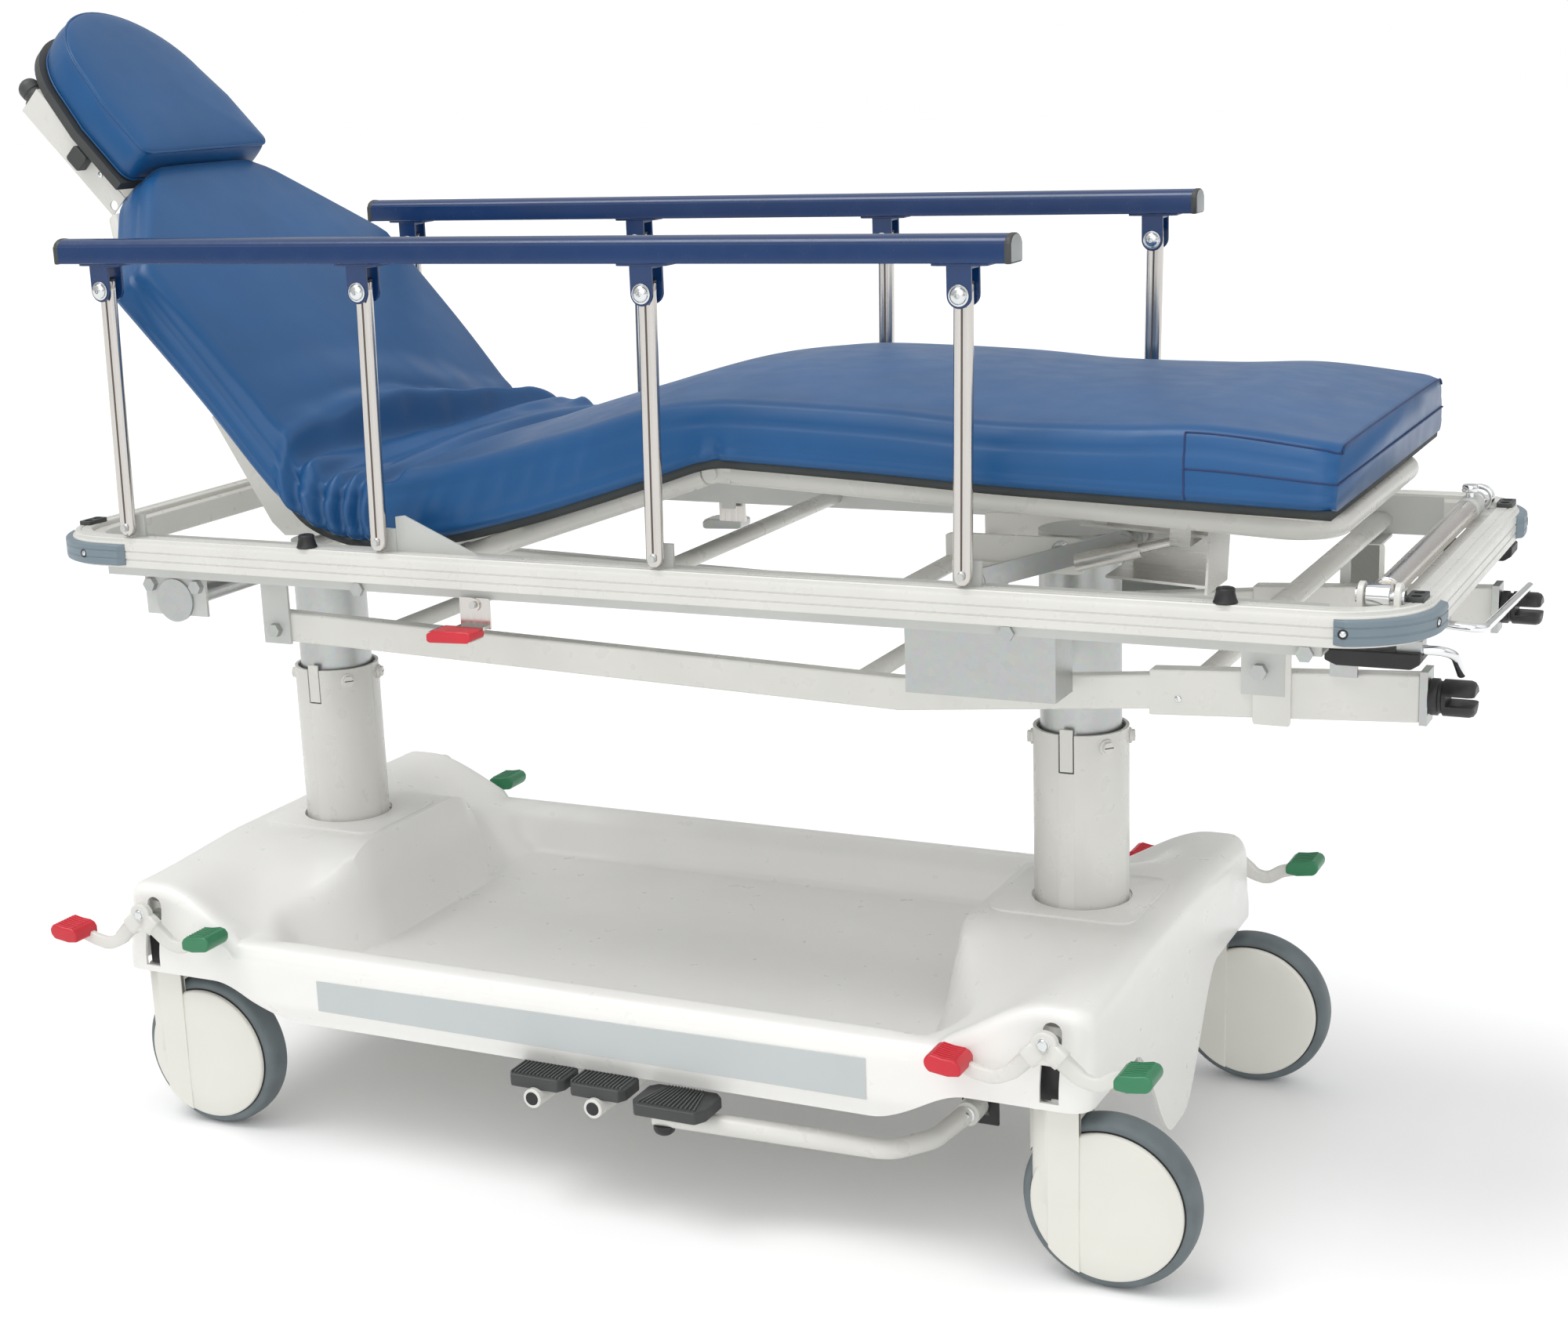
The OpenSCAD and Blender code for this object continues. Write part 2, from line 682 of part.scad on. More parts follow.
// channel for the lift lever's roller, and the gas spring beside it
module leg_track() color("silver") place() on_leg() {
    span([393, -100, -46], [540, -26, -43]);
    span([425, -100, -102], [540, -26, -99]);
    span([435, -29, -102], [540, -26, -43]);
    span([539, -104, -108], [542, -20, -38]);
    difference() {
        union() {
            for (x = [414, 520]) span([x - 8, -92, -44], [x + 8, -36, -5]);
            span([505, -134, -50], [528, -40, -5]);
        }
        for (x = [414, 520]) ycyl(x, 0, -140, -30, 9.02);
    }
    rod([398, -120, -84], [470, -120, -60], 10);
    rod([469, -120, -60.3], [512, -120, -46], 5);
}

module lift_lever() color("lightsteelblue") place() {
    e = [lever_o[0] + lever_l * cos(lever_deg), lever_o[2] + lever_l * sin(lever_deg)];
    difference() {
        union() {
            flat_bar([lever_o[0], lever_o[2]], e, -90, -80, 24);
            ycyl(lever_o[0], lever_o[2], -91, -79, 16);
            ycyl(e[0], e[1], -90.5, -79.5, 13);
        }
        ycyl(lever_o[0], lever_o[2], -100, -70, 7.05);
    }
    ycyl(e[0], e[1], -95, -38, 9);
    ycyl(e[0], e[1], -60, -40, 14);
}

// ---- side rails ----

function post_top(i) = [post_x[i] - post_l * sin(post_lean), post_z + post_l * cos(post_lean)];

module rail_bar() {
    z = post_top(0)[1];
    x0 = -642;
    x1 = 576;
    span([x0, rail_y - 17, z + 32], [x1, rail_y + 17, z + 54]);
    hull() {
        span([x0, rail_y - 17, z + 54], [x1, rail_y + 17, z + 55]);
        span([x0, rail_y - 9, z + 60], [x1, rail_y + 9, z + 61]);
    }
    for (i = [0:3]) {
        x = post_top(i)[0];
        difference() {
            union() for (y = [rail_y - 14, rail_y + 10.5]) {
                span([x - 13, y, z], [x + 13, y + 3.5, z + 32]);
                ycyl(x, z, y, y + 3.5, 13);
            }
            ycyl(x, z, 300, 360, 5.05);
        }
    }
}

module rail_bar_near() color("navy") place() mirror([0, 1, 0]) rail_bar();
module rail_bar_far() color("navy") place() rail_bar();

module post(i) {
    top = post_top(i);
    difference() {
        union() {
            translate([post_x[i], rail_y, post_z]) rotate([0, -post_lean, 0]) {
                for (d = [-5.5, 5.5]) translate([d, 0, 0]) cylinder(r = 6, h = post_l);
                translate([-5.5, -4.5, 0]) cube([11, 9, post_l]);
            }
            ycyl(post_x[i], post_z, rail_y - 9, rail_y + 9, 11.5);
            ycyl(top[0], top[1], rail_y - 9, rail_y + 9, 11.5);
        }
        ycyl(post_x[i], post_z, 300, 360, 4.05);
    }
    ycyl(top[0], top[1], rail_y - 15, rail_y + 15, 5);
    ycyl(top[0], top[1], rail_y + 14.3, rail_y + 20, 9);
    ycyl(top[0], top[1], rail_y - 20, rail_y - 14.3, 9);
}

module post_near(i) color("silver") place() mirror([0, 1, 0]) post(i);
module post_far(i) color("silver") place() post(i);
module post_near_1() post_near(0);
module post_near_2() post_near(1);
module post_near_3() post_near(2);
module post_near_4() post_near(3);
module post_far_1() post_far(0);
module post_far_2() post_far(1);
module post_far_3() post_far(2);
module post_far_4() post_far(3);

// ---- infusion pole, lying across the foot end ----

module pole_tube() color("silver") place() difference() {
    union() {
        ycyl(pole_o[0], pole_o[2], -262, 214, 12.5);
        ycyl(pole_o[0], pole_o[2], 176, 222, 14);
        xcyl(pole_o[0] - 14, pole_o[0] + 14, pole_o[1], pole_o[2], 12);
        span([pole_o[0] - 9, pole_o[1], pole_o[2] - 9], [pole_o[0] + 9, -256, pole_o[2] + 9]);
    }
    ycyl(pole_o[0], pole_o[2], -240, 300, 8.05);
    xcyl(pole_o[0] - 20, pole_o[0] + 20, pole_o[1], pole_o[2], 5.05);
}

// sliding rod with a bent hook at its end
module pole_rod() color("silver") place() {
    x = pole_o[0];
    z = pole_o[2];
    ycyl(x, z, -236, 236, 8);
    ycyl(x, z, 236, 250, 11);
    span([x - 4, 249, z - 3], [x + 18, 255, z + 3]);
    span([x + 12, 254, z - 3], [x + 18, 282, z + 3]);
    span([x - 10, 276, z - 3], [x + 13, 282, z + 3]);
}

base_shell();
chassis();
outer_columns();
column_covers();
fork_near_head();
fork_near_foot();
fork_far_head();
fork_far_foot();
wheel_near_head();
wheel_near_foot();
wheel_far_head();
wheel_far_foot();
brake_shaft_head();
brake_shaft_foot();
brake_caps_head();
brake_caps_foot();
steer_caps_head();
steer_caps_foot();
lower_head_pedal();
lower_foot_pedal();
pump_lever();
pump_pad();
inner_column_head();
inner_column_foot();
litter_frame();
side_plates();
corner_bumpers();
rail_buffers();
sockets();
lower_frame();
zinc_hardware();
transport_hooks();
chrome_bars();
seat_pad();
latch_near();
latch_far();
back_frame();
back_pad();
head_frame();
head_board();
head_pad();
head_handles();
thigh_frame();
thigh_pad();
leg_frame();
leg_pad();
leg_track();
lift_lever();
rail_bar_near();
rail_bar_far();
post_near_1();
post_near_2();
post_near_3();
post_near_4();
post_far_1();
post_far_2();
post_far_3();
post_far_4();
pole_tube();
pole_rod();
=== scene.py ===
import math

import bmesh
import bpy
from mathutils import Matrix, Vector


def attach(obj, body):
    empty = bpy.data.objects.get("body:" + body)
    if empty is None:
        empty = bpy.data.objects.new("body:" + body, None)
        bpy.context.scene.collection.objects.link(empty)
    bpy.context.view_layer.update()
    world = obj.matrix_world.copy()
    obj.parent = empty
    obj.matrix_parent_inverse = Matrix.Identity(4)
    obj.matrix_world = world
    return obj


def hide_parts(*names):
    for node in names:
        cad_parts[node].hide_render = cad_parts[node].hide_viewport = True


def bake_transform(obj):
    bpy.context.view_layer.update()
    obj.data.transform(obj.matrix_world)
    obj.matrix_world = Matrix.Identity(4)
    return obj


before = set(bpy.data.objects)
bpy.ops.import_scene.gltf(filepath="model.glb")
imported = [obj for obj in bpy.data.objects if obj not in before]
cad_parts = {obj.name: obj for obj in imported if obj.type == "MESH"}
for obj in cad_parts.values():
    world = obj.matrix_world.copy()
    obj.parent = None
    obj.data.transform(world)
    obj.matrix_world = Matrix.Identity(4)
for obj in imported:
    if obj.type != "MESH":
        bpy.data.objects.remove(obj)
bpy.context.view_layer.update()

# ---- sizes, in millimetres from the middle of the wheelbase ----

SHIFT = -53.0            # from the wheelbase's middle to the row frame
BACK_DEG, THIGH_DEG, LEG_DEG = 46.0, 18.4, 3.0
BACK_O = (-357.0, 775.0)
THIGH_O = (-170.0, 760.0)
PAD_Y = 286.0
SIDES = (-1, 1)


def sin(deg):
    return math.sin(math.radians(deg))


def cos(deg):
    return math.cos(math.radians(deg))


def at(x, y, z):
    """A point given in millimetres from the wheelbase's middle, in the row frame's metres."""
    return Vector(((x + SHIFT) / 1000, y / 1000, z / 1000))


# points in a section's own millimetres: u along it from its hinge, y across, w out of its plane
def on_back(u, y, w):
    return at(BACK_O[0] - u * cos(BACK_DEG) + w * sin(BACK_DEG), y,
              BACK_O[1] + u * sin(BACK_DEG) + w * cos(BACK_DEG))


def on_thigh(u, y, w):
    return at(THIGH_O[0] + u * cos(THIGH_DEG) - w * sin(THIGH_DEG), y,
              THIGH_O[1] + u * sin(THIGH_DEG) + w * cos(THIGH_DEG))


def mm(x, y, z):
    """Offset in millimetres, as a vector in metres."""
    return Vector((x / 1000, y / 1000, z / 1000))


def side_of(t):
    return "near" if t < 0 else "far"


def end_of(s):
    return "head" if s < 0 else "foot"


def face_of(d):
    return "in" if d < 0 else "out"


def lerp(a, b, t):
    return a + (b - a) * t


def smooth(t):
    t = min(max(t, 0.0), 1.0)
    return t * t * (3 - 2 * t)


def bell(x, width):
    return math.exp(-(x / width) ** 2)


# ---- materials ----


class Nodes:
    """Short names for the few shader nodes that the materials use."""

    def __init__(self, name):
        self.mat = bpy.data.materials.new(name)
        self.mat.use_nodes = True
        self.tree = self.mat.node_tree
        self.shader = self.tree.nodes["Principled BSDF"]
        self.place = self.tree.nodes.new("ShaderNodeTexCoord").outputs["Object"]

    def add(self, kind, **inputs):
        n = self.tree.nodes.new(kind)
        for k, v in inputs.items():
            self.put(n.inputs[k], v)
        return n

    def put(self, socket, value):
        if isinstance(value, bpy.types.NodeSocket):
            self.tree.links.new(value, socket)
        else:
            socket.default_value = value

    def scaled(self, xyz):
        return self.add("ShaderNodeMapping", Vector=self.place, Scale=xyz).outputs["Vector"]

    def noise(self, scale, detail=2.0, rough=0.5, place=None):
        n = self.add("ShaderNodeTexNoise", Vector=place or self.place, Scale=scale, Detail=detail,
                     Roughness=rough)
        return n.outputs["Fac"]

    def ramp(self, value, low, high, to_low, to_high):
        n = self.tree.nodes.new("ShaderNodeMapRange")
        for k, v in (("Value", value), ("From Min", low), ("From Max", high), ("To Min", to_low),
                     ("To Max", to_high)):
            self.put(n.inputs[k], v)
        return n.outputs["Result"]

    def mix(self, fac, a, b):
        n = self.tree.nodes.new("ShaderNodeMix")
        n.data_type = "RGBA"
        self.put(n.inputs[0], fac)
        self.put(n.inputs[6], (*a, 1) if isinstance(a, tuple) else a)
        self.put(n.inputs[7], (*b, 1) if isinstance(b, tuple) else b)
        return n.outputs[2]

    def bump(self, height, strength, distance, normal=None):
        n = self.add("ShaderNodeBump", Height=height, Strength=strength, Distance=distance)
        if normal is not None:
            self.put(n.inputs["Normal"], normal)
        return n.outputs["Normal"]

    def set(self, **sockets):
        for k, v in sockets.items():
            self.put(self.shader.inputs[k.replace("_", " ")], v)


def shade(colour, k):
    return tuple(min(c * k, 1.0) for c in colour)


def painted(name, colour, rough=0.38, peel=0.25, vary=0.06, coat=0.0, grain=420.0):
    """Powder coat or moulded plastic: fine orange peel, faint mottling and uneven gloss."""
    n = Nodes(name)
    cloud = n.noise(9.0, 4.0)
    n.set(Base_Color=n.mix(n.ramp(cloud, 0.35, 0.65, 0.0, 1.0), shade(colour, 1 - vary),
                           shade(colour, 1 + vary * 0.5)))
    n.set(Roughness=n.ramp(n.noise(40.0, 3.0), 0.3, 0.7, rough - 0.05, rough + 0.06))
    n.set(Normal=n.bump(n.noise(grain, 2.0), peel, 0.00005))
    n.set(Coat_Weight=coat, Coat_Roughness=0.15)
    return n.mat


def metal(name, colour, rough=0.25, brush=(1.0, 1.0, 1.0), lines=0.15, spangle=0.0, vary=0.1):
    """Bare metal: drawn lines along one axis, uneven polish and, for zinc, a faint spangle."""
    n = Nodes(name)
    drawn = n.noise(600.0, 2.0, 0.6, n.scaled(brush))
    cloud = n.noise(14.0, 4.0)
    tone = n.mix(n.ramp(cloud, 0.3, 0.7, 0.0, 1.0), shade(colour, 1 - vary), colour)
    if spangle:
        cells = n.add("ShaderNodeTexVoronoi", Vector=n.place, Scale=130.0).outputs["Color"]
        tone = n.mix(spangle, tone, cells)
        tone = n.mix(0.72, tone, colour)
    n.set(Base_Color=tone, Metallic=1.0)
    n.set(Roughness=n.ramp(drawn, 0.25, 0.75, rough - 0.06, rough + 0.1))
    n.set(Normal=n.bump(drawn, lines, 0.00004))
    return n.mat


def vinyl(name, colour):
    """Coated upholstery cloth: fine leather grain, soft mottling and a satin surface."""
    n = Nodes(name)
    pebble = n.add("ShaderNodeTexVoronoi", Vector=n.place, Scale=950.0).outputs["Distance"]
    fine = n.noise(1500.0, 3.0)
    cloud = n.noise(6.0, 5.0)
    n.set(Base_Color=n.mix(n.ramp(cloud, 0.3, 0.7, 0.0, 1.0), shade(colour, 0.9), shade(colour, 1.08)))
    n.set(Roughness=n.ramp(n.noise(25.0, 3.0), 0.3, 0.7, 0.33, 0.41))
    n.set(Normal=n.bump(fine, 0.12, 0.0001, n.bump(pebble, 0.16, 0.00016)))
    n.set(Specular_IOR_Level=0.42, Sheen_Weight=0.04, Sheen_Roughness=0.4)
    return n.mat


def rubber(name, colour, rough=0.6):
    n = Nodes(name)
    n.set(Base_Color=n.mix(n.ramp(n.noise(30.0, 4.0), 0.3, 0.7, 0.0, 1.0), shade(colour, 0.8),
                           shade(colour, 1.15)))
    n.set(Roughness=n.ramp(n.noise(60.0, 3.0), 0.3, 0.7, rough - 0.08, rough + 0.08))
    n.set(Normal=n.bump(n.noise(600.0, 2.0), 0.3, 0.00008))
    return n.mat


VINYL = vinyl("vinyl_blue", (0.006, 0.075, 0.215))
THREAD = rubber("thread_dark", (0.012, 0.035, 0.12), 0.7)
UNDER = rubber("under_cloth", (0.035, 0.04, 0.04), 0.75)
SHROUD = painted("shroud_white", (0.775, 0.77, 0.745), 0.32, 0.12, 0.015)
PAINT = painted("frame_paint", (0.64, 0.635, 0.60), 0.3, 0.12, 0.03)
PLATE = painted("plate_grey", (0.50, 0.51, 0.49), 0.4, 0.25, 0.05)
NAVY = painted("rail_navy", (0.003, 0.03, 0.115), 0.24, 0.1, 0.06, coat=0.2)
SLATE = painted("bumper_slate", (0.165, 0.215, 0.25), 0.45, 0.35, 0.06)
CHARCOAL = painted("plastic_charcoal", (0.045, 0.048, 0.048), 0.5, 0.4, 0.15)
RIB = painted("rib_charcoal", (0.085, 0.09, 0.09), 0.45, 0.3, 0.1)
BLACK = rubber("rubber_black", (0.012, 0.012, 0.013), 0.45)
TYRE = rubber("tyre_grey", (0.12, 0.145, 0.155), 0.55)
CASTER = painted("caster_white", (0.68, 0.675, 0.62), 0.34, 0.05, 0.02)
CAP_GREY = painted("end_cap_grey", (0.30, 0.315, 0.315), 0.35, 0.15, 0.05)
RED = painted("cap_red", (0.55, 0.015, 0.03), 0.35, 0.3, 0.1)
GREEN = painted("cap_green", (0.03, 0.2, 0.09), 0.35, 0.3, 0.1)
STEEL = metal("stainless", (0.60, 0.575, 0.545), 0.16, (1.0, 1.0, 0.02), 0.04, vary=0.03)
# painted shade: this dark brown colours the strips set in the posts' grooves, in place of the shade inside
# them
GROOVE_SHADE = painted("groove_painted_shade", (0.09, 0.07, 0.055), 0.4, 0.1, 0.05)
STEEL_X = metal("stainless_x", (0.70, 0.69, 0.66), 0.3, (0.04, 1.0, 1.0), 0.12)
STEEL_Y = metal("stainless_y", (0.70, 0.67, 0.63), 0.24, (1.0, 0.04, 1.0), 0.12)
ZINC = metal("zinc", (0.47, 0.485, 0.475), 0.36, (1.0, 1.0, 1.0), 0.2, 0.12)
STRIP = painted("strip_grey", (0.47, 0.50, 0.50), 0.35, 0.1, 0.02)
CHROME = metal("chrome", (0.82, 0.83, 0.84), 0.08, (1.0, 1.0, 1.0), 0.02)
BOLT = metal("bolt_steel", (0.72, 0.74, 0.74), 0.2, (1.0, 1.0, 1.0), 0.08)

NODE_LOOKS = {
    "base_shell": SHROUD, "column_covers": SHROUD, "chassis": PAINT, "outer_columns": PAINT,
    "fork": CASTER, "wheel": TYRE, "brake_shaft": PAINT, "brake_caps": RED, "steer_caps": GREEN,
    "lower_head_pedal": CHARCOAL, "lower_foot_pedal": CHARCOAL, "pump_lever": PAINT, "pump_pad": CHARCOAL,
    "inner_column": ZINC, "litter_frame": PAINT, "side_plates": PLATE, "corner_bumpers": SLATE,
    "rail_buffers": BLACK, "sockets": CHARCOAL, "lower_frame": PAINT, "zinc_hardware": ZINC,
    "transport_hooks": BLACK, "chrome_bars": CHROME, "seat_pad": VINYL, "latch": STEEL, "back_frame": PAINT,
    "back_pad": VINYL, "head_frame": PAINT, "head_board": CHARCOAL, "head_pad": VINYL,
    "head_handles": CHARCOAL,
    "thigh_frame": PAINT, "thigh_pad": VINYL, "leg_frame": PAINT, "leg_pad": VINYL, "leg_track": STEEL_X,
    "lift_lever": ZINC, "rail_bar": NAVY, "post": STEEL, "pole": STEEL_Y,
}


def look_for(node):
    fits = [k for k in NODE_LOOKS if node.startswith(k)]
    return NODE_LOOKS[max(fits, key=len)]


for node_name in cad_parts:
    cad = bpy.data.objects[node_name]
    cad.data.materials.clear()
    cad.data.materials.append(look_for(node_name))


# ---- mesh helpers ----


def piece(name, verts, faces, mat, body=None, slot=None):
    me = bpy.data.meshes.new(name)
    me.from_pydata([tuple(v) for v in verts], [], faces)
    me.validate()
    me.materials.append(mat)
    me.shade_smooth()
    ob = bpy.data.objects.new(name, me)
    bpy.context.scene.collection.objects.link(ob)
    if body:
        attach(ob, body)
    return ob


def grid(rows, closed=False, caps=True):
    """Faces for a loft: rows is a list of equal rings of points."""
    n = len(rows[0])
    verts = [p for r in rows for p in r]
    faces = []
    last = len(rows) if closed else len(rows) - 1
    for i in range(last):
        a, b = i * n, ((i + 1) % len(rows)) * n
        for j in range(n):
            k = (j + 1) % n
            faces.append((a + j, a + k, b + k, b + j))
    if caps and not closed:
        faces.append(tuple(reversed(range(n))))
        faces.append(tuple(range((len(rows) - 1) * n, len(rows) * n)))
    return verts, faces


def bevelled(ob, width, segments=2, angle=30):
    m = ob.modifiers.new("bevel", "BEVEL")
    m.width = width / 1000
    m.segments = segments
    m.angle_limit = math.radians(angle)
    m.harden_normals = True
    return ob


def block(name, a, b, mat, body, bevel=1.0, place=at, slot=None):
    """Box between two corners given in a section's own millimetres."""
    corners = [place(x, y, z) for x in (a[0], b[0]) for y in (a[1], b[1]) for z in (a[2], b[2])]
    faces = [(0, 1, 3, 2), (4, 6, 7, 5), (0, 4, 5, 1), (2, 3, 7, 6), (0, 2, 6, 4), (1, 5, 7, 3)]
    return bevelled(outward(piece(name, corners, faces, mat, body, slot)), bevel)


def outward(ob):
    bm = bmesh.new()
    bm.from_mesh(ob.data)
    bmesh.ops.recalc_face_normals(bm, faces=bm.faces)
    bm.to_mesh(ob.data)
    bm.free()
    return ob


def dress(ob, body, node=None, sharp=None):
    """Sharp edges, body and replaced node of a cut or lofted piece."""
    if sharp:
        ob.data.set_sharp_from_angle(angle=math.radians(sharp))
    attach(ob, body)
    if node:
        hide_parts(node)
    return ob


def frame_of(direction, hint=Vector((0, 0, 1))):
    t = direction.normalized()
    if abs(t.dot(hint)) > 0.98:
        hint = Vector((1, 0, 0)) if abs(t.x) < 0.9 else Vector((0, 1, 0))
    side = t.cross(hint).normalized()
    return side, side.cross(t).normalized()


def rounded_path(points, radius, steps=8):
    """Polyline with its inner corners replaced by arcs."""
    out = [points[0]]
    for p, q, r in zip(points, points[1:], points[2:]):
        a, b = (p - q).normalized(), (r - q).normalized()
        half = a.angle(b) / 2
        cut = min(radius / math.tan(half), (p - q).length * 0.49, (r - q).length * 0.49)
        for k in range(steps + 1):
            t = k / steps
            out.append((q + a * cut) * (1 - t) ** 2 + q * 2 * t * (1 - t) + (q + b * cut) * t ** 2)
    out.append(points[-1])
    return out


def sweep(name, path, section, mat, body, hint=Vector((0, 0, 1)), closed=False, slot=None, scale=None):
    """Section, a list of (side, up) in millimetres, carried along a path."""
    rows = []
    n = len(path)
    for i, p in enumerate(path):
        before = path[i - 1] if i or closed else path[0]
        after = path[(i + 1) % n] if i < n - 1 or closed else path[-1]
        side, up = frame_of(after - before, hint)
        k = scale(i / max(n - 1, 1)) if scale else 1.0
        rows.append([p + side * (s * k / 1000) + up * (u * k / 1000) for s, u in section])
    ob = piece(name, *grid(rows, closed), mat, body, slot)
    return outward(ob)


def ring(radius, n=20):
    return [(radius * math.cos(2 * math.pi * k / n), radius * math.sin(2 * math.pi * k / n))
            for k in range(n)]


def tube(name, points, radius, mat, body, bend=0.03, n=20, slot=None):
    ob = sweep(name, rounded_path(points, bend), ring(radius, n), mat, body, slot=slot)
    return bevelled(ob, min(1.0, radius / 4), 2, 50)


def solid(*points):
    """Profile of a full solid of revolution, closed on its axis at both ends."""
    return [(points[0][0], 0), *points, (points[-1][0], 0)]


def turned(name, origin, axis, profile, mat, body, n=40, slot=None):
    """Solid of revolution. profile is (along, radius) in millimetres from origin along axis."""
    side, up = frame_of(Vector(axis))
    t = Vector(axis).normalized()
    rows = []
    for along, radius in profile:
        radius = max(radius, 0.01)
        rows.append([origin + t * (along / 1000) + side * (radius / 1000 * math.cos(a))
                     + up * (radius / 1000 * math.sin(a)) for a in (2 * math.pi * k / n for k in range(n))])
    ob = outward(piece(name, *grid(rows), mat, body, slot))
    return bevelled(ob, 0.35, 2, 35)


def prism(name, outline, lift, mat, body, bevel=1.0, slot=None, segments=2):
    """Outline of row-frame points, thickened by the vector lift."""
    n = len(outline)
    verts = list(outline) + [p + lift for p in outline]
    faces = [tuple(range(n)), tuple(reversed(range(n, 2 * n)))]
    faces += [(k, (k + 1) % n, n + (k + 1) % n, n + k) for k in range(n)]
    return bevelled(outward(piece(name, verts, faces, mat, body, slot)), bevel, segments)


def hexagon(name, origin, axis, across, height, mat, body):
    """Hex head with a washer under it."""
    t = Vector(axis).normalized()
    turned(name + "_washer", origin, axis,
           [(0, across * 0.5), (0, across * 0.72), (1.4, across * 0.72), (1.6, 0)], BOLT, body, 24)
    side, up = frame_of(Vector(axis))
    r = across / 2 / cos(30) / 1000
    pts = [origin + t * 0.0015 + side * (r * cos(60 * k)) + up * (r * sin(60 * k)) for k in range(6)]
    return prism(name, pts, t * (height / 1000), mat, body, across * 0.06)


def dome(name, origin, axis, radius, height, mat, body):
    """Button-head screw with a socket."""
    arc = [(height * math.sin(a), radius * math.cos(a)) for a in (math.pi / 2 * k / 6 for k in range(6))]
    rim = [(height * 0.99, radius * 0.34), (height * 0.45, radius * 0.3), (height * 0.45, 0)]
    return turned(name, origin, axis, [(0, 0), (0, radius)] + arc[1:] + rim, mat, body, 24)


# ---- mattress ----

# side outline of the cushion: (bottom x, z), (top edge x, z), crown in the middle
BODY_LINE = [
    ((-721, 1175), (-674, 1221), 8), ((-605, 1057), (-564, 1103), 12), ((-500, 948), (-460, 988), 13),
    ((-420, 858), (-400, 915), 12), ((-385, 824), (-376, 886), 8), ((-353, 803), (-350, 862), 2),
    ((-316, 789), (-318, 856), 4), ((-275, 783), (-278, 860), 12), ((-225, 785), (-232, 867), 10),
    ((-150, 795), (-165, 879), 12), ((-50, 820), (-75, 901), 18), ((40, 847), (20, 926), 20),
    ((130, 876), (108, 951), 19), ((192, 895), (175, 961), 17), ((250, 895), (240, 963), 18),
    ((400, 888), (398, 957), 20), ((520, 881), (518, 948), 20), ((650, 876), (650, 947), 16),
    ((760, 872), (755, 949), 11), ((884, 868), (886, 934), 7),
]


def along(values, t):
    """Smooth curve through equally spaced values."""
    n = len(values) - 1
    f = min(max(t, 0.0), 1.0) * n
    i = min(int(f), n - 1)
    f -= i
    p0, p1, p2, p3 = (values[min(max(i + k, 0), n)] for k in (-1, 0, 1, 2))
    return 0.5 * (2 * p1 + (p2 - p0) * f + (2 * p0 - 5 * p1 + 4 * p2 - p3) * f * f
                  + (3 * p1 - p0 - 3 * p2 + p3) * f ** 3)


LINE = {k: [f(s) for s in BODY_LINE] for k, f in {
    "bx": lambda s: s[0][0], "bz": lambda s: s[0][1], "tx": lambda s: s[1][0], "tz": lambda s: s[1][1],
    "crown": lambda s: s[2]}.items()}


SHOULDER_U, BACK_L = 388.0, 541.0   # along the backrest: start of the taper and its end
TAPER = 154.0            # how much narrower each side is at the end


def half_width(t):
    """Half width of the cushion at its bottom edge; the shoulders taper towards the head."""
    x, z = along(LINE["bx"], t), along(LINE["bz"], t)
    u = (BACK_O[0] - x) * cos(BACK_DEG) + (z - BACK_O[1]) * sin(BACK_DEG)
    k = max(u - SHOULDER_U, 0.0) / (BACK_L - SHOULDER_U)
    return PAD_Y - TAPER * k if x < -300 else PAD_Y


def section(hw, height, crown):
    """Cross-section of the cushion, (y, height), from its near bottom edge over the top and back below."""
    lean, r_top, r_low = 16.0, 24.0, 12.0
    wall = [(-hw + r_low * (1 - math.sin(a)), r_low * (1 - math.cos(a)))
            for a in (math.pi / 2 * k / 4 for k in range(5))]
    steps = 9
    for k in range(1, steps):
        f = k / steps
        h = lerp(r_low, height - r_top, f)
        wall.append((-hw + lean * (h / height) - 2.5 * math.sin(math.pi * f), h))
    for k in range(9):
        a = math.pi / 2 * k / 8
        wall.append((-hw + lean * 0.75 + r_top * (1 - math.cos(a)), height - r_top + r_top * math.sin(a)))
    inner = hw - lean * 0.75 - r_top
    top = []
    steps = 74
    for k in range(1, steps):
        y = lerp(-inner, inner, k / steps)
        top.append((y, height + crown * (1 - (abs(y) / inner) ** 2.4)))
    near = wall + top
    far = [(-y, h) for y, h in reversed(wall)]
    floor = [(lerp(hw - r_low, -hw + r_low, k / 24), 0.0) for k in range(1, 24)]
    return near + far + floor


FOLD_HW = 272.0
# folds of the bight, near side to far side: crest line, its height, the hollow before it, last hollow
BIGHT = (((0.0, -385), (0.28, -376), (0.42, -368), (0.57, -356), (0.71, -341), (0.86, -324), (1.0, -306)),
         ((0.0, 8), (0.14, 18), (0.28, 31), (0.42, 43), (0.57, 50), (0.71, 53), (0.86, 46), (1.0, 26)),
         ((0.0, 0), (0.2, 2), (0.47, 11), (0.8, 18), (1.0, 16)),
         ((0.0, -245), (0.5, -240), (1.0, -212)))


def terraces(points, x):
    """Value at x on a line that eases from each point to the next."""
    if x <= points[0][0]:
        return points[0][1]
    for (x0, y0), (x1, y1) in zip(points, points[1:]):
        if x < x1:
            return lerp(y0, y1, smooth((x - x0) / (x1 - x0)))
    return points[-1][1]


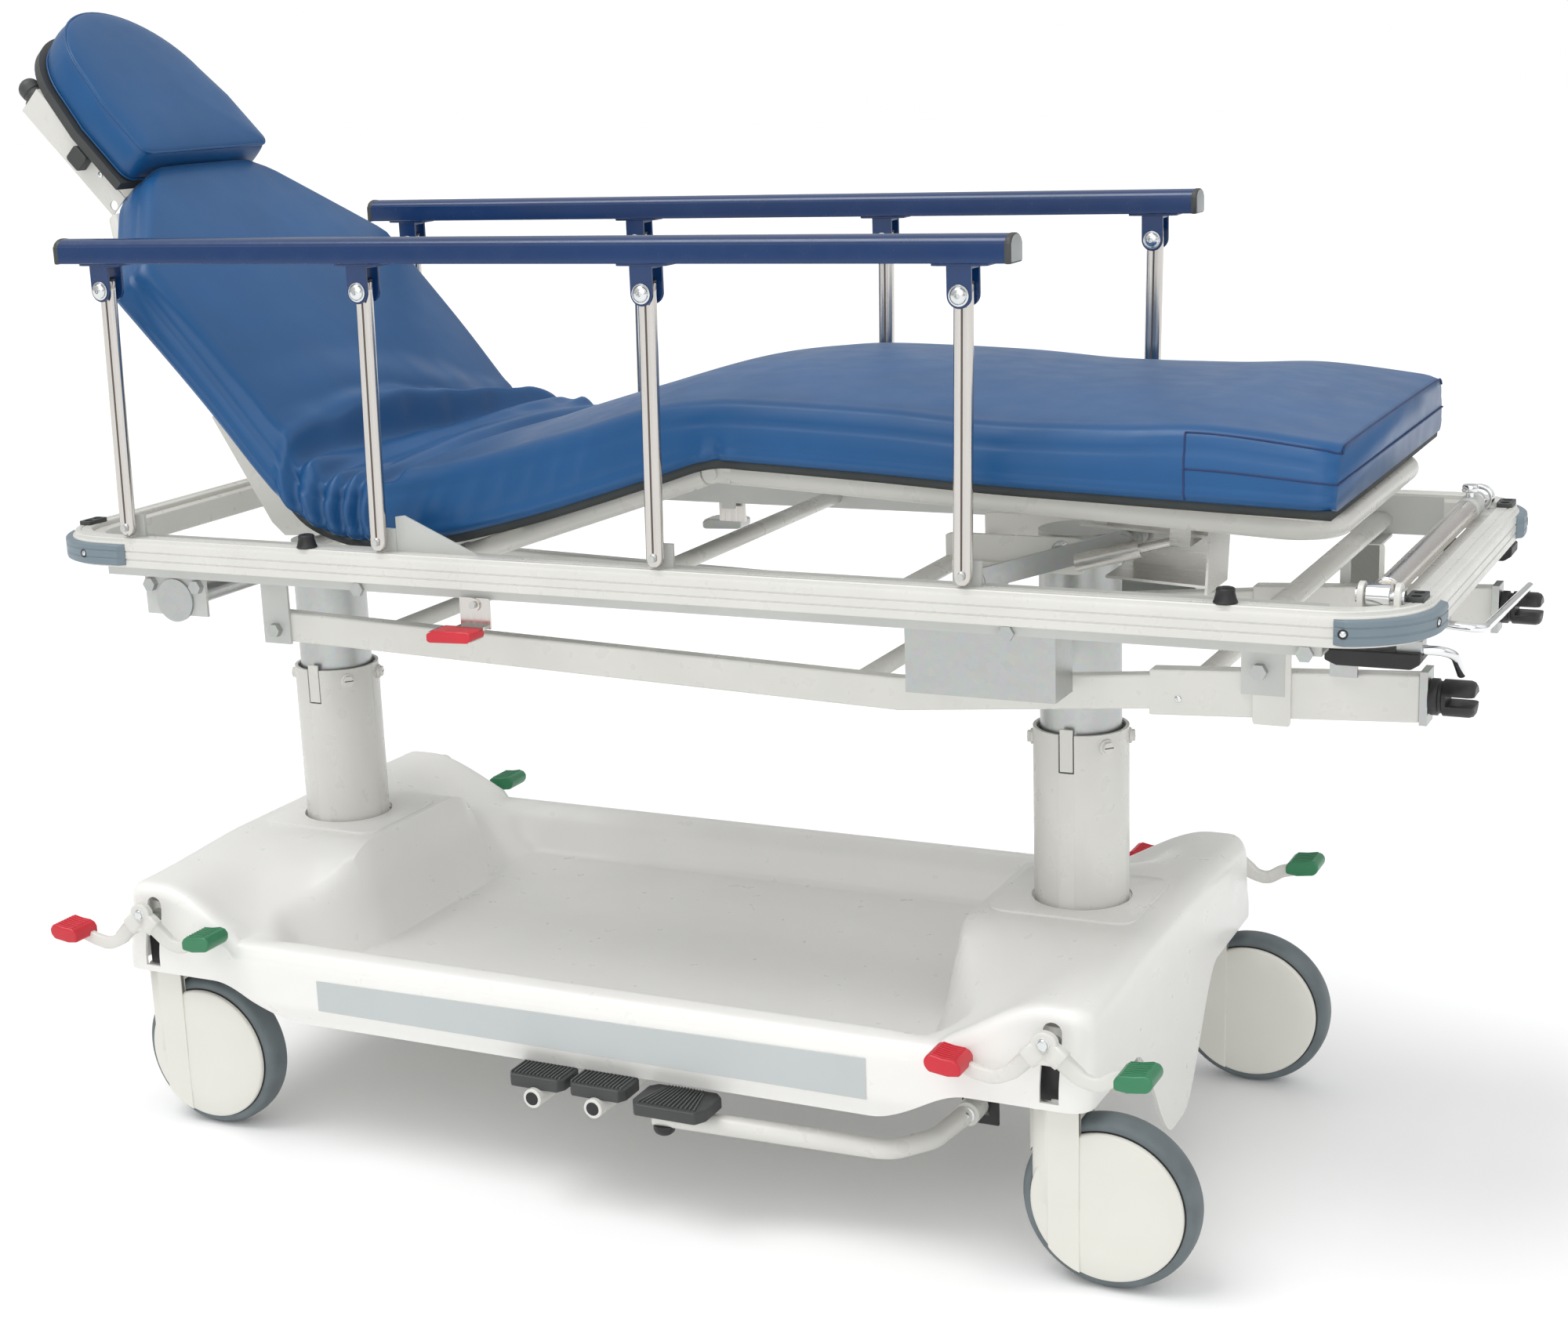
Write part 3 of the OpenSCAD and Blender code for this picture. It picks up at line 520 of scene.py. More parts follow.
def fold_depth(x, y, h, side_wall):
    """Height of the folds of the cover, in millimetres along the surface's normal."""
    d = 0.0
    over = (y + FOLD_HW) / (2 * FOLD_HW)     # 0 at the near side, 1 at the far side
    if not side_wall:
        crest, high, low, line = (terraces(row, over) for row in BIGHT)
        d += terraces(((crest - 78, 0), (crest - 30, 0.34 * high), (crest, high), (crest + 14, low),
                       (crest + 32, low + 7), (crest + 66, 0.52 * low), (line - 26, 0.5 * low), (line, -11),
                       (line + 24, 1.5), (line + 70, 0)), x)
        third = lerp(-232, -196, over)
        d -= 5.0 * bell(x - third, 6.5) * (1 - smooth((over - 0.45) / 0.3))
    # gathered pleats at both ends of the bight, tighter on the near side
    edge = smooth((abs(y) - 165) / 95)
    window = smooth((x + 402) / 30) * (1 - smooth((x + 262) / 26))
    drift = 7 * math.sin(h / 21) + 0.16 * h + 5 * math.sin(x / 23)
    wave = math.sin((x + 380 + drift) / 30.5 * 2 * math.pi)
    pleat = (abs(wave) ** 0.7) * (1 if wave > 0 else -1)
    mid_height = 0.55 + 0.45 * math.sin(math.pi * min(h / 75, 1.0))
    d += lerp(8.5, 5.5, smooth(over)) * pleat * edge * window * mid_height
    # soft slanting drag lines on the thigh's side
    if side_wall:
        soft = smooth((x + 250) / 40) * (1 - smooth((x - 20) / 90))
        slant = math.sin((x - 0.35 * h) / 41 * 2 * math.pi + 1.4 * math.sin(x / 57))
        d += 1.7 * soft * slant * math.sin(math.pi * min(max(h / 78, 0), 1))
        d -= 1.6 * bell(h - 62, 7) * smooth((x - 60) / 60)
        pinch = bell(x - 203, 7) * (1 - smooth(h / 34))
        d -= 6.5 * pinch
        d += 2.0 * (bell(x - 187, 7) + bell(x - 219, 7)) * (1 - smooth(h / 40))
    return d


def mattress_rows():
    rows = []
    count = 262
    for i in range(count + 1):
        t = i / count
        bx, bz, tx, tz = (along(LINE[k], t) for k in ("bx", "bz", "tx", "tz"))
        up = Vector((tx - bx, tz - bz))
        height = up.length
        up.normalize()
        ends = min(t, 1 - t) * 1500
        pull = 1 - smooth(ends / 22)
        hw = half_width(t) - 9 * pull ** 2
        crown = along(LINE["crown"], t) * smooth(ends / 120 + 0.25)
        row = []
        for y, h in section(hw, height - 2 * pull ** 2, crown):
            side_wall = abs(y) > hw - 34 and h < height - 8
            lift = fold_depth(bx + up.x * h, y, h, side_wall) if h > 2 else 0.0
            inside = hw - 34
            if abs(y) > inside and h < height + 1:
                out = smooth((abs(y) - inside) / 30) * (1 - smooth((h - height + 22) / 24))
            else:
                out = 0.0
            dy = (1 if y > 0 else -1) * lift * out
            dh = lift * (1 - out) if h > 8 else 0.0
            row.append(at(bx + up.x * (h + dh), y + dy, bz + up.y * (h + dh)))
        rows.append(row)
    return rows


def split_mesh(ob, names_planes):
    """Cuts a closed piece by planes into closed pieces that keep the whole one's smooth shading."""
    me = ob.data
    layer = me.attributes.new("whole_normal", "FLOAT_VECTOR", "POINT")
    flat = [c for v in me.vertices for c in v.normal]
    layer.data.foreach_set("vector", flat)
    out = []
    for name, low, high in names_planes:
        bm = bmesh.new()
        bm.from_mesh(me)
        for plane, keep in ((low, 1), (high, -1)):
            if plane is None:
                continue
            origin, normal = plane
            cut = bmesh.ops.bisect_plane(bm, geom=bm.verts[:] + bm.edges[:] + bm.faces[:], plane_co=origin,
                                         plane_no=normal * keep, clear_inner=True)
            edges = [e for e in cut["geom_cut"] if isinstance(e, bmesh.types.BMEdge)]
            bmesh.ops.holes_fill(bm, edges=[e for e in edges if e.is_valid and e.is_boundary])
        part = bpy.data.meshes.new(name)
        bm.to_mesh(part)
        bm.free()
        part.materials.append(me.materials[0])
        part.shade_smooth()
        normals = [tuple(d.vector) for d in part.attributes["whole_normal"].data]
        part.normals_split_custom_set_from_vertices(normals)
        part.attributes.remove(part.attributes["whole_normal"])
        new = bpy.data.objects.new(name, part)
        bpy.context.scene.collection.objects.link(new)
        out.append(new)
    bpy.data.objects.remove(ob)
    return out


SEAM_X = 732.0
SEAT_CUT = (at(-262, 0, 820), Vector((1, 0, 0)))
THIGH_CUT = (on_thigh(175, 0, 50), (on_thigh(176, 0, 0) - on_thigh(175, 0, 0)).normalized())


def in_sections(ob, stem):
    """Back, seat and leg parts of a soft piece that runs the whole length, cut apart by two planes."""
    back, seat, leg = split_mesh(ob, [(stem + "_back", None, SEAT_CUT), (stem + "_seat", SEAT_CUT, THIGH_CUT),
                                      (stem + "_leg", THIGH_CUT, None)])
    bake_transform(back)
    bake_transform(seat)
    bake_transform(leg)
    return back, seat, leg


def mattress():
    ob = outward(piece("mattress", *grid(mattress_rows()), VINYL))
    back, seat, leg = in_sections(ob, "mattress")
    for part, nodes, fill in ((back, ["back_pad"], 0.7), (seat, ["seat_pad"], 0.6),
                              (leg, ["thigh_pad", "leg_pad"], 0.75)):
        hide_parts(*nodes)


def underlay():
    """Dark base cloth that shows as a band below the cover."""
    rows = []
    count = 120
    for i in range(count + 1):
        t = lerp(0.004, 0.997, i / count)
        bx, bz, tx, tz = (along(LINE[k], t) for k in ("bx", "bz", "tx", "tz"))
        up = Vector((tx - bx, tz - bz)).normalized()
        shown = smooth((bx + 440) / 90)
        hw = half_width(t) - lerp(24, 7, shown)
        low = lerp(-3.0, -8.5, shown)
        ring_pts = [(-hw, 1.5), (-hw + 3, low), (0, low - 1), (hw - 3, low), (hw, 1.5), (0, 3)]
        rows.append([at(bx + up.x * h, y, bz + up.y * h) for y, h in ring_pts])
    ob = outward(piece("underlay", *grid(rows), UNDER))
    for part in in_sections(ob, "underlay"):
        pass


mattress()
underlay()


# ---- base shroud ----

SHROUD_HW, POD_HW = 346.0, 333.0
HEAD_END, FOOT_END = -654.0, 650.0
PLATEAU_Z, TRAY_Z, RIM_Z, POD_Z = 336.0, 204.0, 266.0, 326.0
COLUMN_X, STEM_X = 530.0, 606.0
SKIN = 4.0


def side_level(x):
    """Height of the shroud's shoulder along its sides: low beside the tray, high at the corners."""
    return lerp(259.0, POD_Z, smooth((abs(x) - 428) / 172))


def shroud_level(x, y):
    a, b = abs(x), abs(y)
    shoulder = side_level(x)
    fall = smooth((b - 100) / 205) ** 0.8 if b > 100 else 0.0
    column = lerp(PLATEAU_Z, shoulder, fall)
    rim = smooth((b - 270) / 30)
    step = 10 * smooth((b - 300) / 10)
    tray = lerp(TRAY_Z, RIM_Z - 10, rim) + step - 4 * smooth((b - 318) / 20)
    reach = 396 + 16 * smooth((b - 110) / 130) - 26 * smooth((b - 230) / 70)
    over = smooth((a - reach) / (30 + 46 * smooth((b - 120) / 140)))
    z = lerp(tray, column, over)
    # soft hollow between the column box and each corner pod
    z -= 13 * bell(a - 520, 52) * bell(b - 245, 60)
    z -= 9 * bell(a - 455, 38) * bell(b - 200, 60)
    return min(z, PLATEAU_Z)


def skirt_foot(x):
    """Height of the skirt's lower edge along the sides, with an arch over each caster."""
    return lerp(170.0, 214.0, smooth((abs(x) - 392) / 118))


def shroud():
    rows = []
    r_end, r_side = 26.0, 16.0
    count = 150
    xs = [lerp(HEAD_END + r_end, FOOT_END - r_end, k / count) for k in range(count + 1)]
    arcs = [math.pi / 2 * k / 6 for k in range(1, 7)]
    stations = [(HEAD_END + r_end * (1 - math.sin(a)), r_end * (1 - math.cos(a))) for a in reversed(arcs)]
    stations += [(x, 0.0) for x in xs]
    stations += [(FOOT_END - r_end * (1 - math.sin(a)), r_end * (1 - math.cos(a))) for a in arcs]
    for x, drop in stations:
        flare = smooth((abs(x) - 480) / 100)
        hw_top = lerp(SHROUD_HW - 5, POD_HW, flare) - drop
        hw_low = SHROUD_HW - drop
        top = side_level(x) if flare > 0 else RIM_Z
        foot = skirt_foot(x)
        wall = []
        for k in range(15):
            f = k / 14
            z = lerp(foot, top - r_side, f)
            y = lerp(hw_low, hw_top, smooth((z - 232) / 70))
            wall.append((-y + 9 * (1 - smooth((z - 168) / 30)), z))
        for k in range(1, 7):
            a = math.pi / 2 * k / 6
            wall.append((-hw_top + r_side * (1 - math.cos(a)), top - r_side + r_side * math.sin(a)))
        inner = hw_top - r_side
        n = 110
        span = [lerp(-inner, inner, k / n) for k in range(1, n)]
        shift = top - shroud_level(x, inner)
        mid = [(y, shroud_level(x, y) + shift * smooth((abs(y) - inner + 40) / 40) - drop * 0.9)
               for y in span]
        wall = [(y, z - drop * 0.9 * smooth((z - 214) / 60)) for y, z in wall]
        far = [(-y, z) for y, z in reversed(wall)]
        rows.append([at(x, y, z) for y, z in wall + mid + far])
    m = len(rows[0])
    verts = [p for r in rows for p in r]
    faces = [(i * m + j, (i + 1) * m + j, (i + 1) * m + j + 1, i * m + j + 1)
             for i in range(len(rows) - 1) for j in range(m - 1)]
    head_cap = list(range(m))
    lobe = [at(FOOT_END, y, 62 + 150 * smooth((abs(y) - 22) / 150))
            for y in (180 - 12 * k for k in range(31))]
    first = len(verts)
    verts += lobe
    foot_cap = list(range((len(rows) - 1) * m, len(rows) * m)) + list(range(first, first + len(lobe)))
    faces += [tuple(head_cap), tuple(reversed(foot_cap))]
    ob = piece("shroud", verts, faces, SHROUD)
    bm = bmesh.new()
    bm.from_mesh(ob.data)
    hole = [f for f in bm.faces
            if any((f.calc_center_median() - at(s * COLUMN_X, 0, PLATEAU_Z)).length < 0.064 for s in SIDES)]
    bmesh.ops.delete(bm, geom=hole, context="FACES")
    bmesh.ops.recalc_face_normals(bm, faces=bm.faces)
    up = [f for f in bm.faces if f.calc_center_median().z > 0.2 and abs(f.normal.z) > 0.9]
    if up and sum(f.normal.z for f in up) < 0:
        bmesh.ops.reverse_faces(bm, faces=bm.faces)
    bm.to_mesh(ob.data)
    bm.free()
    skin = ob.modifiers.new("skin", "SOLIDIFY")
    skin.thickness = SKIN / 1000
    skin.offset = -1
    cutters = []
    for s in SIDES:
        for t in SIDES:
            x = s * STEM_X
            outline = [at(x + 11 * cos(a), t * 300, 300 + 11 * sin(a)) for a in range(0, 181, 20)]
            outline += [at(x - 11, t * 300, 222), at(x + 11, t * 300, 222)]
            cutters.append(prism("slot_cutter", outline, mm(0, t * 80, 0), SHROUD, None, 0.01))
    apply_cuts(ob, cutters)
    # black sheets just inside the skirt's caster slots: painted shade, so that the slots read dark
    for s in SIDES:
        for t in SIDES:
            tag = f"{side_of(t)}_{end_of(s)}"
            y0, y1 = sorted((t * (POD_HW - 8), t * (POD_HW - 11)))
            block("slot_painted_shade_" + tag, (s * STEM_X - 20, y0, 216), (s * STEM_X + 20, y1, 274), BLACK,
                  "base", 0.5, at, "black_rubber")
    ob.data.shade_smooth()
    dress(ob, "base", "base_shell", 50)


def apply_cuts(ob, cutters):
    """Subtracts the cutters from a piece and bakes its modifiers into its mesh."""
    for c in cutters:
        c.modifiers.clear()
        m = ob.modifiers.new("cut", "BOOLEAN")
        m.operation = "DIFFERENCE"
        m.object = c
        m.solver = "EXACT"
    bake(ob)
    for c in cutters:
        bpy.data.objects.remove(c)


def bake(ob):
    graph = bpy.context.evaluated_depsgraph_get()
    done = bpy.data.meshes.new_from_object(ob.evaluated_get(graph))
    ob.modifiers.clear()
    ob.data = done
    return ob


def side_strip():
    """Plain pale label strip along the near skirt."""
    x0, x1 = -350.0, 392.0
    count = 24
    rows = []
    for k in range(count + 1):
        f = k / count
        x = lerp(x0, x1, f)
        low, high = lerp(195, 193, f), lerp(235, 243, f)
        near = -SHROUD_HW - 0.25
        rows.append([at(x, near, low), at(x, near, high), at(x, near - 0.5, high - 0.4),
                     at(x, near - 0.5, low + 0.4)])
    ob = outward(piece("side_strip", *grid(rows), STRIP, "base", "grey_plastic"))
    ob.data.set_sharp_from_angle(angle=math.radians(40))


def column_parts():
    for s, end in zip(SIDES, ("head", "foot")):
        x = s * COLUMN_X
        # cover plate with a round opening
        cx, hw, r = s * (COLUMN_X - 3), 88.0, 24.0
        outline = []
        for qx, qy, a0 in ((1, 1, 0), (-1, 1, 90), (-1, -1, 180), (1, -1, 270)):
            for k in range(9):
                a = a0 + 90 * k / 8
                outline.append(at(cx + qx * (hw + 3 - r) + r * cos(a), qy * (hw - 2 - r) + r * sin(a),
                                  PLATEAU_Z - 1))
        plate = prism("cover_plate_" + end, outline, mm(0, 0, 3.5), SHROUD, None, 0.01)
        hole = [at(x + 60 * cos(a), 60 * sin(a), 320) for a in range(0, 360, 5)]
        apply_cuts(plate, [prism("hole_cutter", hole, mm(0, 0, 40), SHROUD, None, 0.01)])
        bevelled(plate, 1.3, 3, 40)
        dress(plate, "base", "column_covers" if end == "head" else None, 40)
        fixed_column(s, end)


def fixed_column(s, end):
    """Outer column tube with a notched rim, a dark liner and hex-headed set screws."""
    x, r, wall, rim, low = s * COLUMN_X, 56.5, 4.0, 550.0, 300.0
    notch_at, notch_half, notch_depth = -90.0, 9.5, 46.0
    n = 144
    outer = [at(x + r * cos(360 * k / n), r * sin(360 * k / n), low) for k in range(n)]
    body = prism("column_" + end, outer, Vector((0, 0, (rim - low) / 1000)), PAINT, None, 0.01)
    bore = [at(x + (r - wall) * cos(360 * k / n), (r - wall) * sin(360 * k / n), low + 20) for k in range(n)]
    cut_bore = prism("bore_cutter", bore, mm(0, 0, 400), PAINT, None, 0.01)
    c, d = (cos(notch_at), sin(notch_at)), (-sin(notch_at), cos(notch_at))
    notch = [at(x + c[0] * u + d[0] * v, c[1] * u + d[1] * v, rim - notch_depth)
             for u, v in ((30, -notch_half), (80, -notch_half), (80, notch_half), (30, notch_half))]
    cut_notch = prism("notch_cutter", notch, mm(0, 0, 100), PAINT, None, 0.01)
    apply_cuts(body, [cut_bore, cut_notch])
    bevelled(body, 0.9, 3, 50)
    body.data.shade_smooth()
    dress(body, "base", "outer_columns" if end == "head" else None, 35)
    tongue = [at(x + u, -r + 0.6, z)
              for u, z in ((-7.9, rim - 44.4), (7.9, rim - 44.4), (7.9, rim + 7), (-7.9, rim + 7))]
    prism("column_tongue_" + end, tongue, mm(0, 2.8, 0), PAINT, "base", 0.6, "painted_steel")
    turned("column_liner_" + end, at(x, 0, 500), (0, 0, 1), [(0, 52.3), (47, 52.3), (47, 48.6), (0, 48.6)],
           BLACK, "base", 64)
    for k, a in enumerate((-163, -41, 22, 110)):
        axis = Vector((cos(a), sin(a), 0))
        seat = at(x + (r - 0.6) * cos(a), (r - 0.6) * sin(a), rim - 15)
        name = f"set_screw_{end}_{k}"
        turned(name + "_boss", seat, axis, solid((0, 9.5), (2.6, 9.5), (3.4, 8.6)), PAINT, "base", 28)
        side, up = frame_of(axis)
        pts = [seat + axis * 0.003 + side * (0.0075 * cos(60 * q)) + up * (0.0075 * sin(60 * q))
               for q in range(6)]
        prism(name, pts, axis * 0.0042, PAINT, "base", 0.8)
        # a thin black bar across each screw head: painted shade of the screw's slot
        groove = [seat + axis * 0.0071 + side * u + up * v for u, v in
                  ((-0.006, -0.0006), (0.006, -0.0006), (0.006, 0.0006), (-0.006, 0.0006))]
        prism(name + "_groove", groove, axis * 0.0003, BLACK, "base", 0.05)


shroud()
side_strip()
column_parts()


# ---- headpiece ----

HEAD_R, HEAD_HW, HEAD_TOP, HEAD_FOOT = 122.0, 132.0, 800.0, 548.0


def head_outline():
    """D-shaped outline, as (u, y) up the backrest, counter-clockwise from the middle of the lower edge."""
    low, round_at, corner = HEAD_FOOT, HEAD_TOP - HEAD_R, 16.0
    pts = [(low, lerp(0, HEAD_HW - corner, k / 8)) for k in range(9)]
    pts += [(low + corner * (1 - cos(a)), HEAD_HW - corner + corner * sin(a))
            for a in (15, 30, 45, 60, 75, 90)]
    pts += [(lerp(low + corner, 640, k / 6), HEAD_HW) for k in range(1, 7)]
    pts += [(round_at + HEAD_R * sin(a), HEAD_R * cos(a)) for a in range(6, 91, 6)]
    pts += [(u, -y) for u, y in reversed(pts[1:-1])]
    return pts


def head_cushion():
    outline = head_outline()
    mid = (672.0, 0.0)
    n = len(outline)
    out = []
    for k, (u, y) in enumerate(outline):
        a, b = outline[k - 1], outline[(k + 1) % n]
        t = Vector((b[0] - a[0], b[1] - a[1])).normalized()
        out.append((-t.y, t.x) if (-t.y * (u - mid[0]) + t.x * (y - mid[1])) > 0 else (t.y, -t.x))
    base = 48.6
    profile = [(-9, 0.4), (-3.5, 1.2), (-0.6, 4.5), (1.2, 12), (2.0, 22), (1.6, 34), (0.2, 43),
               (-1.4, 47.0), (-2.2, 48.6), (-1.6, 50.2), (-2.2, 52.0), (-5.0, 53.6), (-11, 55.2)]
    rows = [[on_back(u * 1.0, y, base + 0.2)
             for u, y in ((lerp(mid[0], u, 0.3), y * 0.3) for u, y in outline)]]
    for inset, h in profile:
        ring_pts = []
        for k, (u, y) in enumerate(outline):
            pucker = 1.1 * math.sin(k * 2.3) * math.sin(k * 0.9 + 1.0) * bell(h - 46, 9)
            sag = 1.3 * math.sin(k * 0.37) * bell(h - 24, 14)
            d = inset + pucker + sag
            ring_pts.append(on_back(u + out[k][0] * d, y + out[k][1] * d, base + h))
        rows.append(ring_pts)
    for f, h in ((0.84, 57.2), (0.7, 58.8), (0.54, 60.0), (0.36, 60.8), (0.2, 61.1), (0.07, 61.2)):
        rows.append([on_back(lerp(mid[0], u, f), y * f, base + h) for u, y in outline])
    ob = outward(piece("head_cushion", *grid(rows), VINYL, None, "vinyl_blue"))
    subdivide(ob, 1)
    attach(ob, "headpiece")
    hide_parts("head_pad")
    seam = [on_back(u + o[0] * -1.2, y + o[1] * -1.2, base + 50.2) for (u, y), o in zip(outline, out)]
    sweep("head_cushion_piping", seam, ring(1.7, 8), VINYL, "headpiece", closed=True, slot="vinyl_blue")
    low = [on_back(u + o[0] * -0.6, y + o[1] * -0.6, base + 3.2) for (u, y), o in zip(outline, out)]
    sweep("head_cushion_low_seam", low, ring(1.3, 8), VINYL, "headpiece", closed=True, slot="vinyl_blue")


def subdivide(ob, levels):
    m = ob.modifiers.new("smooth", "SUBSURF")
    m.levels = levels
    m.render_levels = levels
    return bake(ob)


def head_grips():
    """Rounded rubber grips on the channel's end, and square side knobs."""
    for t in SIDES:
        side = side_of(t)
        base = on_back(728, t * 110, 17)
        axis = on_back(729, t * 110, 17) - base
        arc = [(19 + 13 * sin(a), 14.6 * cos(a)) for a in range(0, 90, 12)]
        turned("head_grip_" + side, base, axis,
               [(0, 0), (0, 18.5), (2.2, 18.8), (3.2, 17.4), (3.4, 14.6), (8, 14.2), (9, 13.2), (11, 13.2),
                (12, 14.4)] + arc + [(32.2, 0)], CHARCOAL, "headpiece", 36)
        outline = [on_back(618 + 13 * c, t * 128.2, 22.5 + 12 * d) for c, d in rounded_square(0.35)]
        lift = on_back(618, t * 143.5, 22.5) - on_back(618, t * 128.2, 22.5)
        knob = prism("head_knob_" + side, outline, lift, CHARCOAL, "headpiece", 1.6, segments=3)
        if t < 0:
            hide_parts("head_handles")
        screw = on_back(585, t * 128.2, 25)
        dome("head_screw_" + side, screw, (0, t, 0), 4.2, 2.2, BOLT, "headpiece")


def rounded_square(corner, n=5):
    """Unit square's outline from -1 to 1 with rounded corners."""
    pts = []
    for qx, qy, a0 in ((1, 1, 0), (-1, 1, 90), (-1, -1, 180), (1, -1, 270)):
        pts += [(qx * (1 - corner) + corner * cos(a0 + 90 * k / n),
                 qy * (1 - corner) + corner * sin(a0 + 90 * k / n)) for k in range(n + 1)]
    return pts


head_cushion()
head_grips()


# ---- side rails ----

POST_X = (-584.0, -214.0, 151.0, 513.0)
POST_L, POST_Z, POST_LEAN, RAIL_Y = 291.0, 796.0, -1.2, 334.0
RAIL_X0, RAIL_X1 = -642.0, 576.0
PIVOT_Z = POST_Z + POST_L * cos(POST_LEAN)
BAR_Z = PIVOT_Z + 32


def bar_section():
    half = [(-15.9, 0), (-17, 1.1), (-17, 19.2), (-16.6, 20.2), (-15.6, 20.7), (-14.9, 22.6), (-12.6, 25.2),
            (-9, 27.4), (-4.6, 28.7), (0, 29.1)]
    return half + [(-y, z) for y, z in reversed(half[:-1])]


def side_post(t, px, body, tag):
    """Drawn stainless post with a lengthwise groove on each face, a dark strip of painted shade in each
    groove, and a black plug in its top.
    """
    shape = [(-5.1 + 5.6 * cos(a), 6 * sin(a)) for a in range(60, 301, 20)]
    shape += [(5.1 + 5.6 * cos(a), 6 * sin(a)) for a in range(-120, 121, 20)]
    lean = (-sin(POST_LEAN), cos(POST_LEAN))
    rows = []
    ends = ((11.3, 0.2), (10.2, 0.48), (8.2, 0.71), (5.0, 0.91), (0.0, 1.0))
    levels = [(-f, k) for f, k in ends] + [(100, 1.0), (200, 1.0), (POST_L, 1.0), (POST_L + 9.5, 1.0),
                                           (POST_L + 10.5, 0.93)]
    for f, k in levels:
        depth = min(1.0, k + 0.25)
        rows.append([at(px + lean[0] * f + a * k, t * RAIL_Y + b * depth, POST_Z + lean[1] * f)
                     for a, b in shape])
    dress(outward(piece("side_post_" + tag, *grid(rows), STEEL)), body, body, 40)
    # a dark strip in each face's groove: painted shade that darkens the groove
    for d in (-1, 1):
        groove = [at(px + lean[0] * f + a, t * RAIL_Y + d * 5.0, POST_Z + lean[1] * f)
                  for f, a in ((6, -1), (6, 1), (POST_L, 1), (POST_L, -1))]
        prism(f"post_groove_shade_{tag}_{face_of(d * t)}", groove, mm(0, d * 0.6, 0), GROOVE_SHADE, body, 0.1,
              "stainless")
    top = [at(px + lean[0] * (POST_L + 10) + 10.2 * a, t * RAIL_Y + 5.2 * b, POST_Z + lean[1] * (POST_L + 10))
           for a, b in rounded_square(0.4)]
    prism("post_plug_" + tag, top, mm(0, 0, 3.8), BLACK, body, 1.2, "black_rubber")
    dome("post_screw_" + tag, at(px, t * (RAIL_Y + 5.0), POST_Z + 0.5), (0, t, 0), 4.6, 2.4, BOLT, body)


def side_rail(t):
    side = side_of(t)
    body = "rail_" + side
    y = t * RAIL_Y
    rows = [[at(x, y + a, BAR_Z + b) for a, b in bar_section()]
            for x in (RAIL_X0 + 5, RAIL_X0 + 30, 0, RAIL_X1 - 30, RAIL_X1 - 5)]
    bar = outward(piece("rail_bar_" + side + "_profile", *grid(rows), NAVY))
    dress(bar, body, "rail_bar_" + side, 32)
    for x, d in ((RAIL_X0, 1), (RAIL_X1, -1)):
        cap = [[at(x + d * u, y + a * k, BAR_Z + 14.5 + (b - 14.5) * k) for a, b in bar_section()]
               for u, k in ((7, 1.0), (5, 1.035), (1.6, 1.035), (0.4, 0.99), (0.0, 0.93))]
        end = outward(piece(f"rail_cap_{side}_{end_of(-d)}", *grid(cap), CHARCOAL, body, "charcoal"))
        end.data.shade_smooth()
        end.data.set_sharp_from_angle(angle=math.radians(40))
        face = [[at(x - d * u, y + a * k, BAR_Z + 14.5 + (b - 14.5) * k) for a, b in bar_section()]
                for u, k in ((-0.2, 0.94), (0.5, 0.92), (0.7, 0.88))]
        outward(piece(f"rail_cap_face_{side}_{end_of(-d)}", *grid(face), CAP_GREY, body, "grey_plastic"))
    for i, px in enumerate(POST_X):
        x = px - POST_L * sin(POST_LEAN)
        tag = f"{side}_{i + 1}"
        plate = [at(x + 31 * a, y + 14.5 * b, BAR_Z - 2.6) for a, b in rounded_square(0.3)]
        prism("rail_flange_" + tag, plate, mm(0, 0, 2.6), NAVY, body, 0.6, "navy_powder")
        side_post(t, px, "post_" + tag, tag)
        for d in (-1, 1):
            cheek = [at(x + 13.5 * cos(a), y + d * 10.5, PIVOT_Z + 13.5 * sin(a))
                     for a in range(180, 361, 12)]
            cheek += [at(x + 13.5, y + d * 10.5, BAR_Z - 2), at(x - 13.5, y + d * 10.5, BAR_Z - 2)]
            prism(f"rail_cheek_{tag}_{face_of(d * t)}", cheek, mm(0, d * 3.5, 0), NAVY, body, 0.8,
                  "navy_powder")
            post = "post_" + tag
            turned(f"post_washer_{tag}_{face_of(d * t)}", at(x, y + d * 14.2, PIVOT_Z), (0, d, 0),
                   solid((0, 11), (1.4, 11), (1.7, 9)), BOLT, post, 32, "zinc")
            dome(f"post_bolt_{tag}_{face_of(d * t)}", at(x, y + d * 15.6, PIVOT_Z), (0, d, 0), 9.4, 5.4,
                 BOLT, post)
        block(f"rail_bridge_{tag}", (x - 13, y - 13, BAR_Z - 6), (x + 13, y + 13, BAR_Z - 2.6), NAVY, body,
              0.8, at, "navy_powder")


for rail_side in SIDES:
    side_rail(rail_side)


# ---- litter deck ----

DECK_X0, DECK_X1, DECK_HW, DECK_R, DECK_Z = -718.0, 981.0, 342.5, 92.0, 747.0
# centres of the deck's round corners, and the direction in which each arc starts
CORNERS = (
    ("far_foot", DECK_X1 - DECK_R, DECK_HW - DECK_R, 0),
    ("far_head", DECK_X0 + DECK_R, DECK_HW - DECK_R, 90),
    ("near_head", DECK_X0 + DECK_R, DECK_R - DECK_HW, 180),
    ("near_foot", DECK_X1 - DECK_R, DECK_R - DECK_HW, 270),
)


def deck_path(inset, turns=14):
    """Closed path round the deck, drawn in by inset, with round corners."""
    r = DECK_R - inset
    pts = []
    for _, cx, cy, a0 in CORNERS:
        pts += [(cx + r * cos(a0 + 90 * k / turns), cy + r * sin(a0 + 90 * k / turns))
                for k in range(turns + 1)]
    return pts


